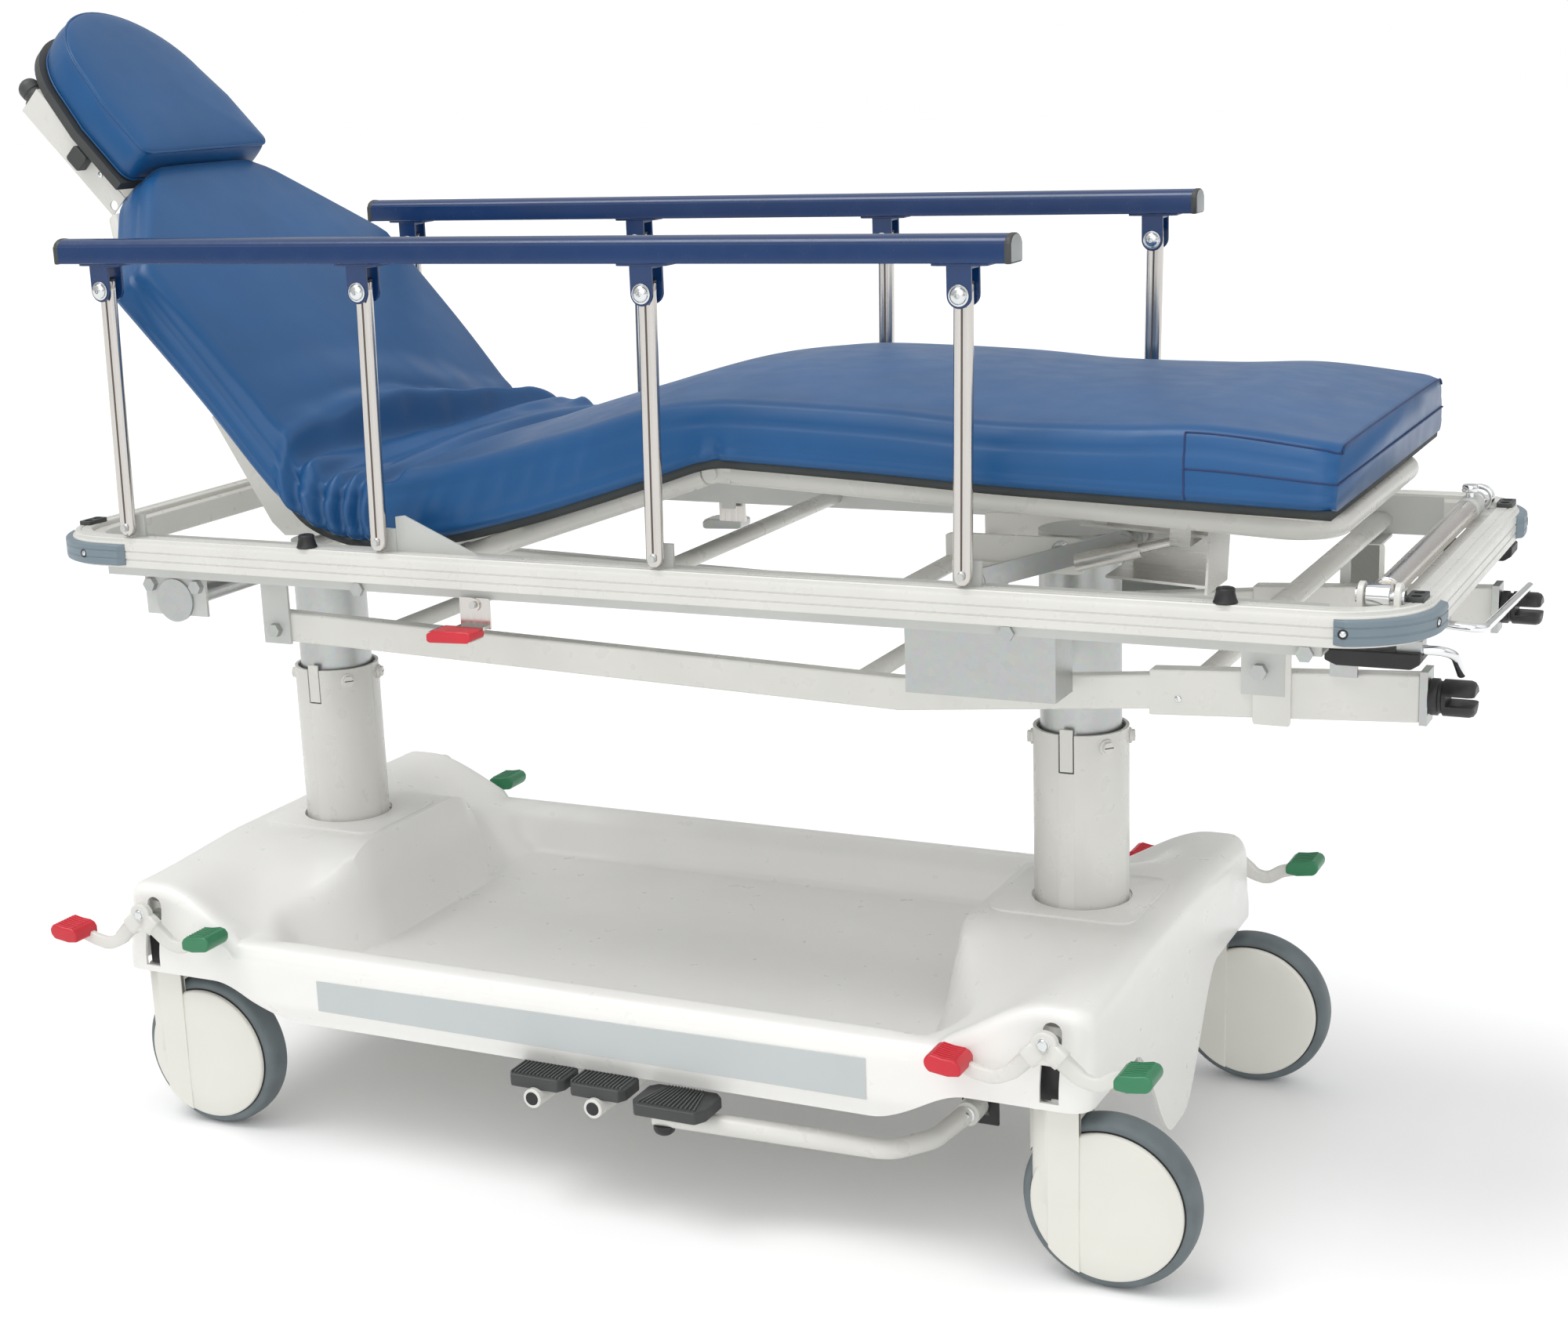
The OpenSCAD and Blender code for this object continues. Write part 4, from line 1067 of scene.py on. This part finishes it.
def deck():
    profile = [(0.6, 0), (0, 0.8), (0, 8.4), (1.1, 9.2), (1.1, 10.2), (0, 11), (0, 18.6), (1.1, 19.4),
               (1.1, 20.4), (0, 21.2), (0, 27.6), (1.2, 30), (3.2, 31.2), (4, 33), (4, 35), (5, 36),
               (11, 36), (11.6, 34.9), (13, 34.9), (13.6, 36), (24.6, 36), (25.6, 35), (26, 30.4), (41, 30),
               (42, 29), (42, 1), (41, 0)]
    rows = []
    paths = [deck_path(inset) for inset, _ in profile]
    for k in range(len(paths[0])):
        rows.append([at(path[k][0], path[k][1], DECK_Z + h) for path, (_, h) in zip(paths, profile)])
    ob = outward(piece("deck_frame", *grid(rows, closed=True), PAINT))
    dress(ob, "litter", "litter_frame", 28)
    web = DECK_HW - 42.5
    for name, x, z, r in (("knee", 86, 750, 11), ("lever", 396, 750, 11), ("foot", 812, 752, 12)):
        flat = [(r * 1.18 * cos(a), r * 0.86 * sin(a)) for a in range(0, 360, 15)]
        sweep("deck_cross_tube_" + name, [at(x, y, z) for y in (-web, -120, 120, web)], flat, PAINT, "litter",
              slot="painted_steel")
    for t in SIDES:
        side = side_of(t)
        cheek = [at(473 + 83 * a, t * 62, 765 + 21 * b) for a, b in rounded_square(0.16)]
        prism("column_cheek_" + side, cheek, mm(0, t * 6, 0), PAINT, "litter", 1.0, "painted_steel")
        hexagon("column_pin_head_" + side, at(530, t * 68, 772), (0, t, 0), 16, 7, BOLT, "litter")
    turned("column_pin", at(530, -68, 772), (0, 1, 0), solid((0, 7.8), (136, 7.8)), BOLT, "litter", 28)
    for x, tag in ((912, "head"), (948, "foot")):
        ear = [at(x, -288 + 14 * cos(a), 790 + 14 * sin(a)) for a in range(0, 181, 15)]
        ear += [at(x, -303, 757), at(x, -273, 757)]
        prism("pole_ear_" + tag, ear, mm(6, 0, 0), PAINT, "litter", 0.8, "painted_steel")
    turned("pole_pin", at(909, -288, 790), (1, 0, 0),
           solid((0, 7.5), (3, 7.5), (3.2, 5), (44, 5), (44.2, 7.5), (48, 7.5)), BOLT, "litter", 24)
    block("lever_pivot_block", (415, -78.5, 722), (466, -66, 756), PAINT, "litter", 1.2, at, "painted_steel")
    turned("lever_pin", at(430, -95, 734), (0, 1, 0), solid((0, 9), (3.5, 9), (3.7, 7), (26, 7)), BOLT,
           "litter", 28)


def bumpers():
    """Corner guards with tapered ends and two recessed screws each."""
    h = 26.0
    for tag, cx, cy, a0 in CORNERS:
        first, last = (cos(a0), sin(a0)), (cos(a0 + 90), sin(a0 + 90))
        along_a, along_b = (40.0, 22.0) if tag == "far_head" else (22.0, 40.0)
        skip_a, skip_b = 0, 0
        if "foot" in tag:
            along_a, along_b = (0.0, 22.0) if tag == "near_foot" else (22.0, 0.0)
            skip_a, skip_b = (1, 0) if tag == "near_foot" else (0, 1)
        pts = []
        if along_a:
            pts += [(cx + first[0] * DECK_R - last[0] * f, cy + first[1] * DECK_R - last[1] * f, first)
                    for f in (along_a, along_a - 7, along_a * 0.5)]
        pts += [(cx + DECK_R * cos(q), cy + DECK_R * sin(q), (cos(q), sin(q)))
                for q in (a0 + 90 * k / 14 for k in range(skip_a, 15 - skip_b))]
        if along_b:
            pts += [(cx + last[0] * DECK_R - first[0] * f, cy + last[1] * DECK_R - first[1] * f, last)
                    for f in (along_b * 0.5, along_b - 7, along_b)]
        rows = []
        for k, (x, y, out) in enumerate(pts):
            thick = 8.2 if 0 < k < len(pts) - 1 else 1.5
            shape = [(thick - d, z) for d, z in ((2.2, 0), (0.6, 1.2), (0, 3.6))]
            for low in (0.3, 0.66):
                shape += [(thick - d, h * (low + f)) for d, f in ((0, 0), (0.7, 0.03), (0.7, 0.07), (0, 0.1))]
            shape += [(thick - d, h - z) for d, z in ((0, 3.4), (0.6, 1.2), (2.2, 0))]
            shape = [(-0.4, 0)] + shape + [(-0.4, h)]
            rows.append([at(x + out[0] * d, y + out[1] * d, DECK_Z + 3 + z) for d, z in shape])
        ob = outward(piece("corner_bumper_" + tag, *grid(rows), SLATE))
        dress(ob, "litter", "corner_bumpers" if tag == "near_foot" else None, 35)
        for q, a in enumerate((a0 + 12, a0 + 78)):
            seat = at(cx + (DECK_R + 7.7) * cos(a), cy + (DECK_R + 7.7) * sin(a), DECK_Z + 3 + h / 2)
            axis = Vector((cos(a), sin(a), 0))
            # black cup round each screw: painted shade of the screw's recess
            turned(f"bumper_recess_shade_{tag}_{q}", seat, axis,
                   solid((0, 5.2), (0.9, 5.0), (0.9, 3.9), (0.2, 3.6)), BLACK, "litter", 24, "black_rubber")
            dome(f"bumper_screw_{tag}_{q}", seat, axis, 3.4, 1.3, BOLT, "litter")


def socket_plates():
    """Black two-hole plates on the deck's ends."""
    first = None
    for x, end in ((-701, "head"), (964, "foot")):
        for t in SIDES:
            outline = [at(x + 9 * a, t * 262 + 17.4 * b, 782.6) for a, b in rounded_square(0.25)]
            plate = prism(f"socket_plate_{side_of(t)}_{end}", outline, mm(0, 0, 5.2), CHARCOAL, None, 0.01)
            holes = []
            for d in (-8.5, 8.5):
                hole = [at(x + 5.5 * cos(a), t * 262 + d + 5.5 * sin(a), 784) for a in range(0, 360, 15)]
                holes.append(prism("hole_cutter", hole, mm(0, 0, 10), BLACK, None, 0.01))
            apply_cuts(plate, holes)
            bevelled(plate, 0.6, 2, 40)
            dress(plate, "litter", None, 40)
            first = first or plate
            # a black disc at the bottom of each hole: painted shade inside the holes
            for d in (-8.5, 8.5):
                turned(f"socket_hole_{side_of(t)}_{end}_{face_of(d)}", at(x, t * 262 + d, 783.9),
                       (0, 0, 1), solid((0, 5.4), (0.5, 5.4)), BLACK, "litter", 24, "black_rubber")
    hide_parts("sockets")


def buffers():
    """Tapered rubber buffers on the deck, with a rounded rim."""
    for t in SIDES:
        for x, tag in ((-321, "head"), (789, "foot")):
            name = f"buffer_{side_of(t)}_{tag}"
            ob = turned(name, at(x, t * 329, 783), (0, 0, 1),
                        solid((0, 12), (1.6, 12.6), (3, 11.6), (11, 9.6), (14, 9.8), (15.6, 8.8),
                              (16.2, 6.6), (16.2, 3.2), (14.8, 2.8)), BLACK, "litter", 32, "black_rubber")
            if name == "buffer_near_head":
                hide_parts("rail_buffers")


deck()
bumpers()
socket_plates()
buffers()


# ---- casters ----

TRAIL, WHEEL_R = 57.0, 100.0


def caster(s, t):
    tag = f"{side_of(t)}_{end_of(s)}"
    cx, cy = s * STEM_X, t * 302.0
    swivel, wheel = "swivel_" + tag, "wheel_" + tag
    axle = at(cx + TRAIL, cy, WHEEL_R)
    half = [(-19.2, 88.6), (-19.2, 92.2), (-18.2, 94.6), (-15.6, 97.2), (-11.4, 99.0), (-6.0, 99.85),
            (0, 100)]
    tread = [(-19.2, 0)] + half + [(-a, r) for a, r in reversed(half[:-1])] + [(19.2, 0)]
    tyre = turned("tyre_" + tag, axle, (0, 1, 0), tread, TYRE, wheel, 96, "tyre_grey")
    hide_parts("wheel_" + tag)
    # black core inside the tyre: painted shade in the gap between the tyre and the white discs
    turned("tyre_gap_shade_" + tag, axle, (0, 1, 0), solid((-19.5, 88.4), (19.5, 88.4)), BLACK, wheel, 96,
           "black_rubber")
    for d in (-1, 1):
        side = "a" if d < 0 else "b"
        turned(f"caster_disc_{tag}_{side}", axle, (0, d, 0),
               [(20, 0), (20, 86.6), (23.6, 86.6), (25.2, 85.6), (26.2, 83.4), (26.8, 60), (27.1, 0)],
               CASTER, swivel, 96, "caster_white")
        arc = [(86.6 * cos(a), 86.6 * sin(a)) for a in range(213, 249, 4)]
        shape = [(-TRAIL - 9, 110), (-TRAIL - 9, -48)] + [(u, w) for u, w in arc if u > -TRAIL - 9]
        shape += [(-TRAIL + 28.0, -81.4), (-TRAIL + 28.0, 66), (-TRAIL + 24, 72), (-TRAIL + 28.0, 79),
                  (-TRAIL + 28.0, 110)]
        outline = [at(cx + TRAIL + u, cy + d * 20, WHEEL_R + w) for u, w in shape]
        prism(f"caster_cheek_{tag}_{side}", outline, mm(0, d * 8.2, 0), CASTER, swivel, 1.6, "caster_white",
              3)
    nose = [at(cx - 8 - 28 * cos(a), cy + 28 * sin(a), 96) for a in range(-90, 91, 9)]
    nose += [at(cx + 28, cy + 28, 96), at(cx + 28, cy - 28, 96)]
    body = prism("caster_nose_" + tag, nose, mm(0, 0, 115), CASTER, None, 0.01)
    cut = [at(cx + TRAIL + 102.5 * cos(a), cy - 19.7, WHEEL_R + 102.5 * sin(a)) for a in range(0, 360, 4)]
    apply_cuts(body, [prism("wheel_cutter", cut, mm(0, 39.4, 0), CASTER, None, 0.01)])
    bevelled(body, 1.2, 3, 50)
    dress(body, swivel, "fork_" + tag, 35)
    block("caster_crown_" + tag, (cx - 26, cy - 26, 204), (cx + 27, cy + 26, 211.6), CASTER, swivel, 1.5,
          at, "caster_white")
    turned("caster_neck_" + tag, at(cx, cy, 210.5), (0, 0, 1),
           solid((0, 23.5), (8, 23.5), (9, 22.5), (13, 22.5)), ZINC, swivel, 48, "zinc")
    turned("caster_stem_" + tag, at(cx, cy, 222), (0, 0, 1), solid((0, 13.6), (38, 13.6), (40, 11)), BOLT,
           swivel, 32, "zinc")


for end_side in SIDES:
    for rail_side in SIDES:
        caster(end_side, rail_side)


# ---- brake and steering pedals ----

BRAKE_Z = 285.0
# centre lines of the two pedal arms, outwards and up from the shaft
BRAKE_ARM = ((4, 6), (20, -8), (40, -28), (58, -36), (80, -32), (104, -24))
STEER_ARM = ((4, 6), (20, -6), (42, -24), (60, -28), (78, -16), (104, -9))


def cap_piece(name, x, dz, direction, t, mat, body, slot):
    """Moulded pedal cap: a bent pad with cross ribs on top."""
    shape = [(85, -7), (85, 3), (88, 8.5), (94, 11), (106, 11.6), (118, 14), (124, 13), (128, 7), (127, 0),
             (122, -6), (100, -9)]
    y0 = t * 347
    outline = [at(x + direction * u, y0, BRAKE_Z + dz + w) for u, w in shape]
    ob = prism(name, outline, mm(0, t * 43, 0), mat, body, 3.2, slot, 4)
    for k in range(8):
        y = t * (351 + 5.0 * k)
        rib = [at(x + direction * u, y - 0.9, BRAKE_Z + dz + w)
               for u, w in ((92, 9), (92.5, 11.6), (106, 12.5), (118, 14.9), (121, 13))]
        prism(f"{name}_rib_{k}", rib, mm(0, 1.8, 0), mat, body, 0.5, slot)
    return ob


def brake_set(s):
    end = end_of(s)
    body = "brake_" + end
    x = s * STEM_X
    rod_piece = turned("brake_rod_" + end, at(x, -357, BRAKE_Z), (0, 1, 0), solid((0, 7.9), (714, 7.9)),
                       ZINC, body, 28, "zinc")
    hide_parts("brake_shaft_" + end)
    for t in SIDES:
        tag = f"{end}_{side_of(t)}"
        for direction, route in ((-1, BRAKE_ARM), (1, STEER_ARM)):
            path = [at(x + direction * u, t * 358, BRAKE_Z + w) for u, w in route]
            flat = [(-8 * a, 4.8 * b) for a, b in rounded_square(0.5)]
            sweep(f"pedal_arm_{tag}_{'out' if direction * s > 0 else 'in'}", rounded_path(path, 0.03), flat,
                  PAINT, body, Vector((0, 1, 0)), slot="painted_steel",
                  scale=lambda f: 1.5 - 0.5 * smooth(f * 2.2))
        web = [at(x + 15 * cos(a), t * 353, BRAKE_Z + 13 + 13 * sin(a)) for a in range(0, 181, 15)]
        web += [at(x - 22, t * 353, BRAKE_Z - 4), at(x - 10, t * 353, BRAKE_Z - 12),
                at(x + 10, t * 353, BRAKE_Z - 12), at(x + 22, t * 353, BRAKE_Z - 4)]
        prism("pedal_hub_" + tag, web, mm(0, t * 11, 0), PAINT, body, 2.6, "painted_steel", 4)
        turned("pedal_bolt_" + tag, at(x, t * 363.5, BRAKE_Z + 12), (0, t, 0),
               solid((0, 7.5), (0.8, 7.5), (1.2, 6), (3.2, 5.6), (3.6, 4.6)), BOLT, body, 24, "zinc")
        red = cap_piece("brake_cap_" + tag, x, -21, -1, t, RED, body, "red_plastic")
        green = cap_piece("steer_cap_" + tag, x, -9, 1, t, GREEN, body, "green_plastic")
        if t < 0:
            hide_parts("brake_caps_" + end)
            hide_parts("steer_caps_" + end)


for end_side in SIDES:
    brake_set(end_side)


# ---- foot pedals under the near side ----


def pedal_pad(name, cx, cy, z, half_x, half_y, thick, body, fan=0.0):
    """Moulded rubber pad with chamfered corners and fine ribs, fanned out if asked."""
    shape = [(-1, -0.55), (-0.82, -1), (0.82, -1), (1, -0.55), (1, 0.7), (0.8, 1), (-0.8, 1), (-1, 0.7)]
    low = [at(cx + half_x * a, cy + half_y * b, z) for a, b in shape]
    ob = prism(name, low, Vector((0, 0, thick / 1000)), CHARCOAL, body, 2.6, "charcoal", 3)
    count = 14
    for k in range(count):
        f = lerp(-0.86, 0.86, k / (count - 1))
        x0 = cx + half_x * f * (1 - fan * 0.25)
        x1 = cx + half_x * f * (1 - fan * 0.75)
        far = half_y * (0.82 if abs(f) < 0.8 else 0.6)
        bend = half_y * fan * 0.35 * (1 - f * f)
        rib = [at(x0 - 0.9, cy - half_y * 0.8, z + thick - 0.4),
               at(x0 + 0.9, cy - half_y * 0.8, z + thick - 0.4),
               at(x1 + 0.9, cy + far + bend * 0.4, z + thick - 0.4),
               at(x1 - 0.9, cy + far + bend * 0.4, z + thick - 0.4)]
        prism(f"{name}_rib_{k}", rib, mm(0, 0, 2.7), RIB, body, 0.5, "charcoal")
    return ob


def tilt_pedal_set(tag, x, body):
    arm = turned("tilt_arm_" + tag, at(x + 5, -384, 144), (0, 1, -0.02),
                 [(0, 8.2), (0, 11.2), (1, 12), (192, 12), (192, 0)], PAINT, body, 32, "painted_steel")
    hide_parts(f"lower_{tag}_pedal")
    # black disc on the arm's open end: painted shade of its hollow bore
    turned("tilt_arm_bore_shade_" + tag, at(x + 5, -384.4, 144), (0, 1, 0), solid((0.2, 8.4), (6, 8.4)), BLACK,
           body, 28, "black_rubber")
    turned("tilt_boss_" + tag, at(x - 14, -180, 140), (1, 0, 0),
           solid((0, 12.4), (1, 13), (27, 13), (28, 12.4)), PAINT, body, 32, "painted_steel")
    pedal_pad("tilt_pad_" + tag, x + 4, -352, 152.5, 38, 25, 16, body)


def pump_set():
    route = [at(124, -352.7, 134.3), at(402, -306.3, 116), at(438, -262, 117), at(458, -206, 129)]
    arm = tube("pump_arm", route, 12, PAINT, "pump", 0.05, 28, "painted_steel")
    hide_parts("pump_lever")
    turned("pump_boss", at(460, -213, 130), (0, 1, 0), solid((0, 14), (1, 15), (31, 15), (32, 14)), PAINT,
           "pump", 36, "painted_steel")
    turned("pump_bolt", at(460, -222, 130), (0, 1, 0), solid((0, 5), (3, 6), (7, 6), (7.2, 10), (9, 10)),
           BOLT, "pump", 24, "zinc")
    block("pump_bracket", (440, -178, 104), (486, -173, 172), BLACK, "base", 1.5, at, "black_rubber")
    pad = pedal_pad("pump_tread", 155, -355, 146, 48, 32, 15, "pump", 0.5)
    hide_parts("pump_pad")
    turned("pump_stop", at(136, -351, 125), (0, 0, -1),
           [(0, 0), (0, 13.4), (6, 13.2), (10, 11.4), (12.6, 8), (13.6, 4), (13.8, 0)], BLACK, "pump", 32,
           "black_rubber")


tilt_pedal_set("head", -28.0, "lower_head")
tilt_pedal_set("foot", 54.0, "lower_foot")
pump_set()


# ---- lower frame and foot-end fittings ----


def lower_structure():
    for t in SIDES:
        side = side_of(t)
        y = t * 207
        lower = [at(u, y, w)
                 for u, w in ((-462, 637), (392, 613), (700, 640), (700, 678), (392, 651), (-462, 675))]
        ob = prism("lower_tube_" + side, lower, mm(0, t * 20, 0), PAINT, "litter", 3.2, "painted_steel", 3)
        if t < 0:
            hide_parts("lower_frame")
        sleeve = [at(u, t * 204, w) for u, w in ((680, 632), (962, 646), (962, 696), (680, 682))]
        prism("lower_sleeve_" + side, sleeve, mm(0, t * 22.8, 0), PAINT, "litter", 2.4, "painted_steel", 3)
        dome("sleeve_screw_" + side, at(712, t * 226.8, 652), (0, t, 0), 4.0, 2.0, BOLT, "litter")
        strap = [at(812 + 20 * a, t * 227.0, 684 + 52 * b) for a, b in rounded_square(0.12)]
        prism("hanger_strap_" + side, strap, mm(0, t * 3.5, 0), PAINT, "litter", 0.8, "painted_steel")
    for k, (x, z) in enumerate(((-300, 652), (330, 634), (720, 660))):
        sweep(f"lower_cross_tube_{k}", [at(x, y, z) for y in (-208, 0, 208)], ring(11, 24), PAINT, "litter",
              slot="painted_steel")


def hooks():
    """Black slotted clevises on zinc plates, and the chrome locking bars between them."""
    for t in SIDES:
        side = side_of(t)
        base = at(970, t * 214, 672)
        body = turned("hook_clevis_" + side, base, (1, 0, 0),
                      solid((0, 17.5), (2, 19), (9, 19), (10, 16.6), (13, 16.6), (14, 19), (40, 19),
                            (44, 17.5), (46, 14.5)), BLACK, None, 40)
        slot_cut = [at(988, t * 214 - 30, 672 + 5.2), at(1030, t * 214 - 30, 672 + 5.2),
                    at(1030, t * 214 - 30, 672 - 5.2), at(988, t * 214 - 30, 672 - 5.2)]
        apply_cuts(body, [prism("slot_cutter", slot_cut, mm(0, 60, 0), BLACK, None, 0.01)])
        bevelled(body, 0.8, 2, 40)
        dress(body, "litter", "transport_hooks" if t < 0 else None, 35)
        bracket = [at(u, t * 250, w)
                   for u, w in ((880, 735), (880, 723), (892, 718), (965, 718), (974, 724), (974, 735))]
        prism("hook_bracket_" + side, bracket, mm(0, t * 45, 0), BLACK, "litter", 2.0, "black_rubber", 3)
    near = [at(966, -274, 744), at(968, -274, 735), at(1001, -268, 733), at(1002, -224, 700)]
    bar = tube("chrome_bar_near", near, 4.8, CHROME, "litter", 0.02, 20, "chrome")
    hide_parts("chrome_bars")
    far = [at(966, -141, 744), at(967, -141, 731), at(1008, -139, 727), at(1004, 0, 714), at(1002, 206, 700)]
    tube("chrome_bar_far", far, 4.8, CHROME, "litter", 0.02, 20, "chrome")
    for y, w in ((-274, 12), (-141, 11)):
        block(f"bar_clip_{int(-y)}", (948, y - w, 729), (974, y + w, 746.6), ZINC, "litter", 1.6, at, "zinc")


def infusion_pole():
    x, z = 933.0, 790.0
    tube_ob = turned("pole_sleeve", at(x, -264, z), (0, 1, 0), solid((0, 11.6), (1, 12.5), (452, 12.5)),
                     STEEL_Y, "pole", 40, "stainless")
    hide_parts("pole_tube")
    turned("pole_collar", at(x, 176, z), (0, 1, 0),
           solid((0, 12.8), (2, 13.8), (12, 14), (15, 13), (31, 13), (34, 14), (44, 14), (46, 12.6)), PLATE,
           "pole", 40, "zinc")
    turned("pole_knob", at(x, 199, z + 12), (0, 0, 1),
           solid((0, 4), (6, 4), (6.4, 8.6), (8, 9.4), (13, 9.4), (15, 8)), CHROME, "pole", 28, "chrome")
    turned("pole_hub", at(x - 13.6, -288, z), (1, 0, 0),
           solid((0, 11), (0.8, 11.8), (23.4, 11.8), (24.2, 11)), CHROME, "pole", 40, "chrome")
    block("pole_neck", (x - 8.6, -288, z - 8.6), (x + 8.6, -260, z + 8.6), STEEL_Y, "pole", 2.0, at,
          "stainless")
    turned("pole_foot_ring", at(x, -262, z), (0, 1, 0), solid((0, 13.4), (5, 13.4), (6, 12.4)), CHROME,
           "pole", 40, "chrome")
    rod_ob = turned("pole_inner_rod", at(x, -234, z), (0, 1, 0),
                    solid((0, 7.7), (470, 7.7), (471, 10.4), (483, 10.8), (484, 8)), CHROME, "pole_rod", 32,
                    "chrome")
    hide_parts("pole_rod")
    coil = [at(x + 14 * cos(a), 264 + 5 * a / 360, z + 13 * sin(a)) for a in range(-90, 640, 15)]
    sweep("pole_hook_ring", coil, ring(2.9, 12), CHROME, "pole_rod", Vector((0, 1, 0)), slot="chrome")


lower_structure()
hooks()
infusion_pole()


def latch_grips():
    """Moulded grips on the rail latches."""
    for t in SIDES:
        side = side_of(t)
        outline = [at(x, t * 338.8, z)
                   for x, z in ((-134, 690), (-129, 688.6), (-79, 690.5), (-73.6, 694), (-73.6, 702.6),
                                (-79, 704), (-125, 703.6), (-134, 699))]
        prism("latch_grip_" + side, outline, mm(0, t * 32.6, 0), RED if t < 0 else ZINC, "latch_" + side, 2.4,
              "red_plastic" if t < 0 else "zinc", 3)


def mattress_seams():
    """Stitched seams of the sewn panel at the leg end."""
    rows = mattress_rows()
    start = min(range(150, len(rows)), key=lambda i: abs(rows[i][12].x - at(SEAM_X, 0, 0).x))
    level, upper = 9, 17
    last = len(rows)
    paths = {
        "upright": [rows[start][j] for j in range(2, upper + 1)],
        "edge_near": [rows[i][upper] for i in range(start, last)],
        "low_near": [rows[i][level] for i in range(start, last)],
    }
    end, count = rows[-1], 2 * 22 + 73
    out = mm(0.7, 0, 0)
    paths["edge_end"] = [end[j] + out for j in range(upper, count - upper)]
    paths["low_end"] = [end[level].lerp(end[count - 1 - level], k / 12) + out for k in range(13)]
    for name, path in paths.items():
        sweep("seam_" + name, path, ring(1.1, 8), THREAD, "leg", Vector((0.2, 1, 0.3)), slot="vinyl_blue")


latch_grips()
mattress_seams()


# ---- camera, light and floor ----

YAW, PITCH, ROLL = 26.7, 14.4, -2.4
CAMERA_AT = at(1418.7, -2689.7, 1332.1)
LENS_MM, SENSOR_MM, LENS_SHIFT = 56.6208, 36.0, (0.0359, 0.01405)


def camera():
    ahead = Vector((-sin(YAW) * cos(PITCH), cos(YAW) * cos(PITCH), -sin(PITCH)))
    right = Vector((cos(YAW), sin(YAW), 0))
    up = right.cross(ahead)
    side = right * cos(ROLL) + up * sin(ROLL)
    top = -right * sin(ROLL) + up * cos(ROLL)
    data = bpy.data.cameras.new("camera")
    data.sensor_width = SENSOR_MM
    data.lens = LENS_MM
    data.shift_x, data.shift_y = LENS_SHIFT
    ob = bpy.data.objects.new("camera", data)
    ob.matrix_world = Matrix.Translation(CAMERA_AT) @ Matrix((side, top, -ahead)).transposed().to_4x4()
    bpy.context.scene.collection.objects.link(ob)
    bpy.context.scene.camera = ob


def sun(name, azimuth, elevation, strength, spread, shadow=True):
    """Soft lamp from a direction given in degrees, azimuth 0 being the near side."""
    data = bpy.data.lights.new(name, "SUN")
    data.energy = strength
    data.angle = math.radians(spread)
    data.use_shadow = shadow
    ob = bpy.data.objects.new(name, data)
    towards = Vector((sin(azimuth) * cos(elevation), -cos(azimuth) * cos(elevation), sin(elevation)))
    ob.rotation_euler = towards.to_track_quat("Z", "Y").to_euler()
    bpy.context.scene.collection.objects.link(ob)


def studio():
    world = bpy.data.worlds.new("studio")
    bpy.context.scene.world = world
    world.use_nodes = True
    tree = world.node_tree
    back = tree.nodes["Background"]
    path = tree.nodes.new("ShaderNodeLightPath")
    where = tree.nodes.new("ShaderNodeTexCoord")
    split = tree.nodes.new("ShaderNodeSeparateXYZ")
    tree.links.new(where.outputs["Generated"], split.inputs["Vector"])
    sky = tree.nodes.new("ShaderNodeMapRange")
    for key, value in (("From Min", -0.1), ("From Max", 0.75), ("To Min", 0.42), ("To Max", 0.8)):
        sky.inputs[key].default_value = value
    tree.links.new(split.outputs["Z"], sky.inputs["Value"])
    seen = tree.nodes.new("ShaderNodeMix")
    tree.links.new(path.outputs["Is Camera Ray"], seen.inputs["Factor"])
    tree.links.new(sky.outputs["Result"], seen.inputs["A"])
    seen.inputs["B"].default_value = 1.0
    back.inputs["Color"].default_value = (1.0, 1.0, 1.0, 1)
    tree.links.new(seen.outputs["Result"], back.inputs["Strength"])
    sun("key", -48, 66, 1.3, 34)
    sun("fill", 14, 30, 0.8, 60, shadow=False)
    sun("rim", 100, 30, 0.3, 60, shadow=False)
    n = Nodes("floor_pale")
    n.set(Base_Color=n.mix(n.noise(0.6, 2.0), (0.93, 0.935, 0.94), (0.96, 0.96, 0.96)), Roughness=0.6)
    size = 40.0
    floor = piece("floor", [(-size, -size, 0), (size, -size, 0), (size, size, 0), (-size, size, 0)],
                  [(0, 1, 2, 3)], n.mat)


camera()
studio()
bpy.context.scene.view_settings.view_transform = "Standard"
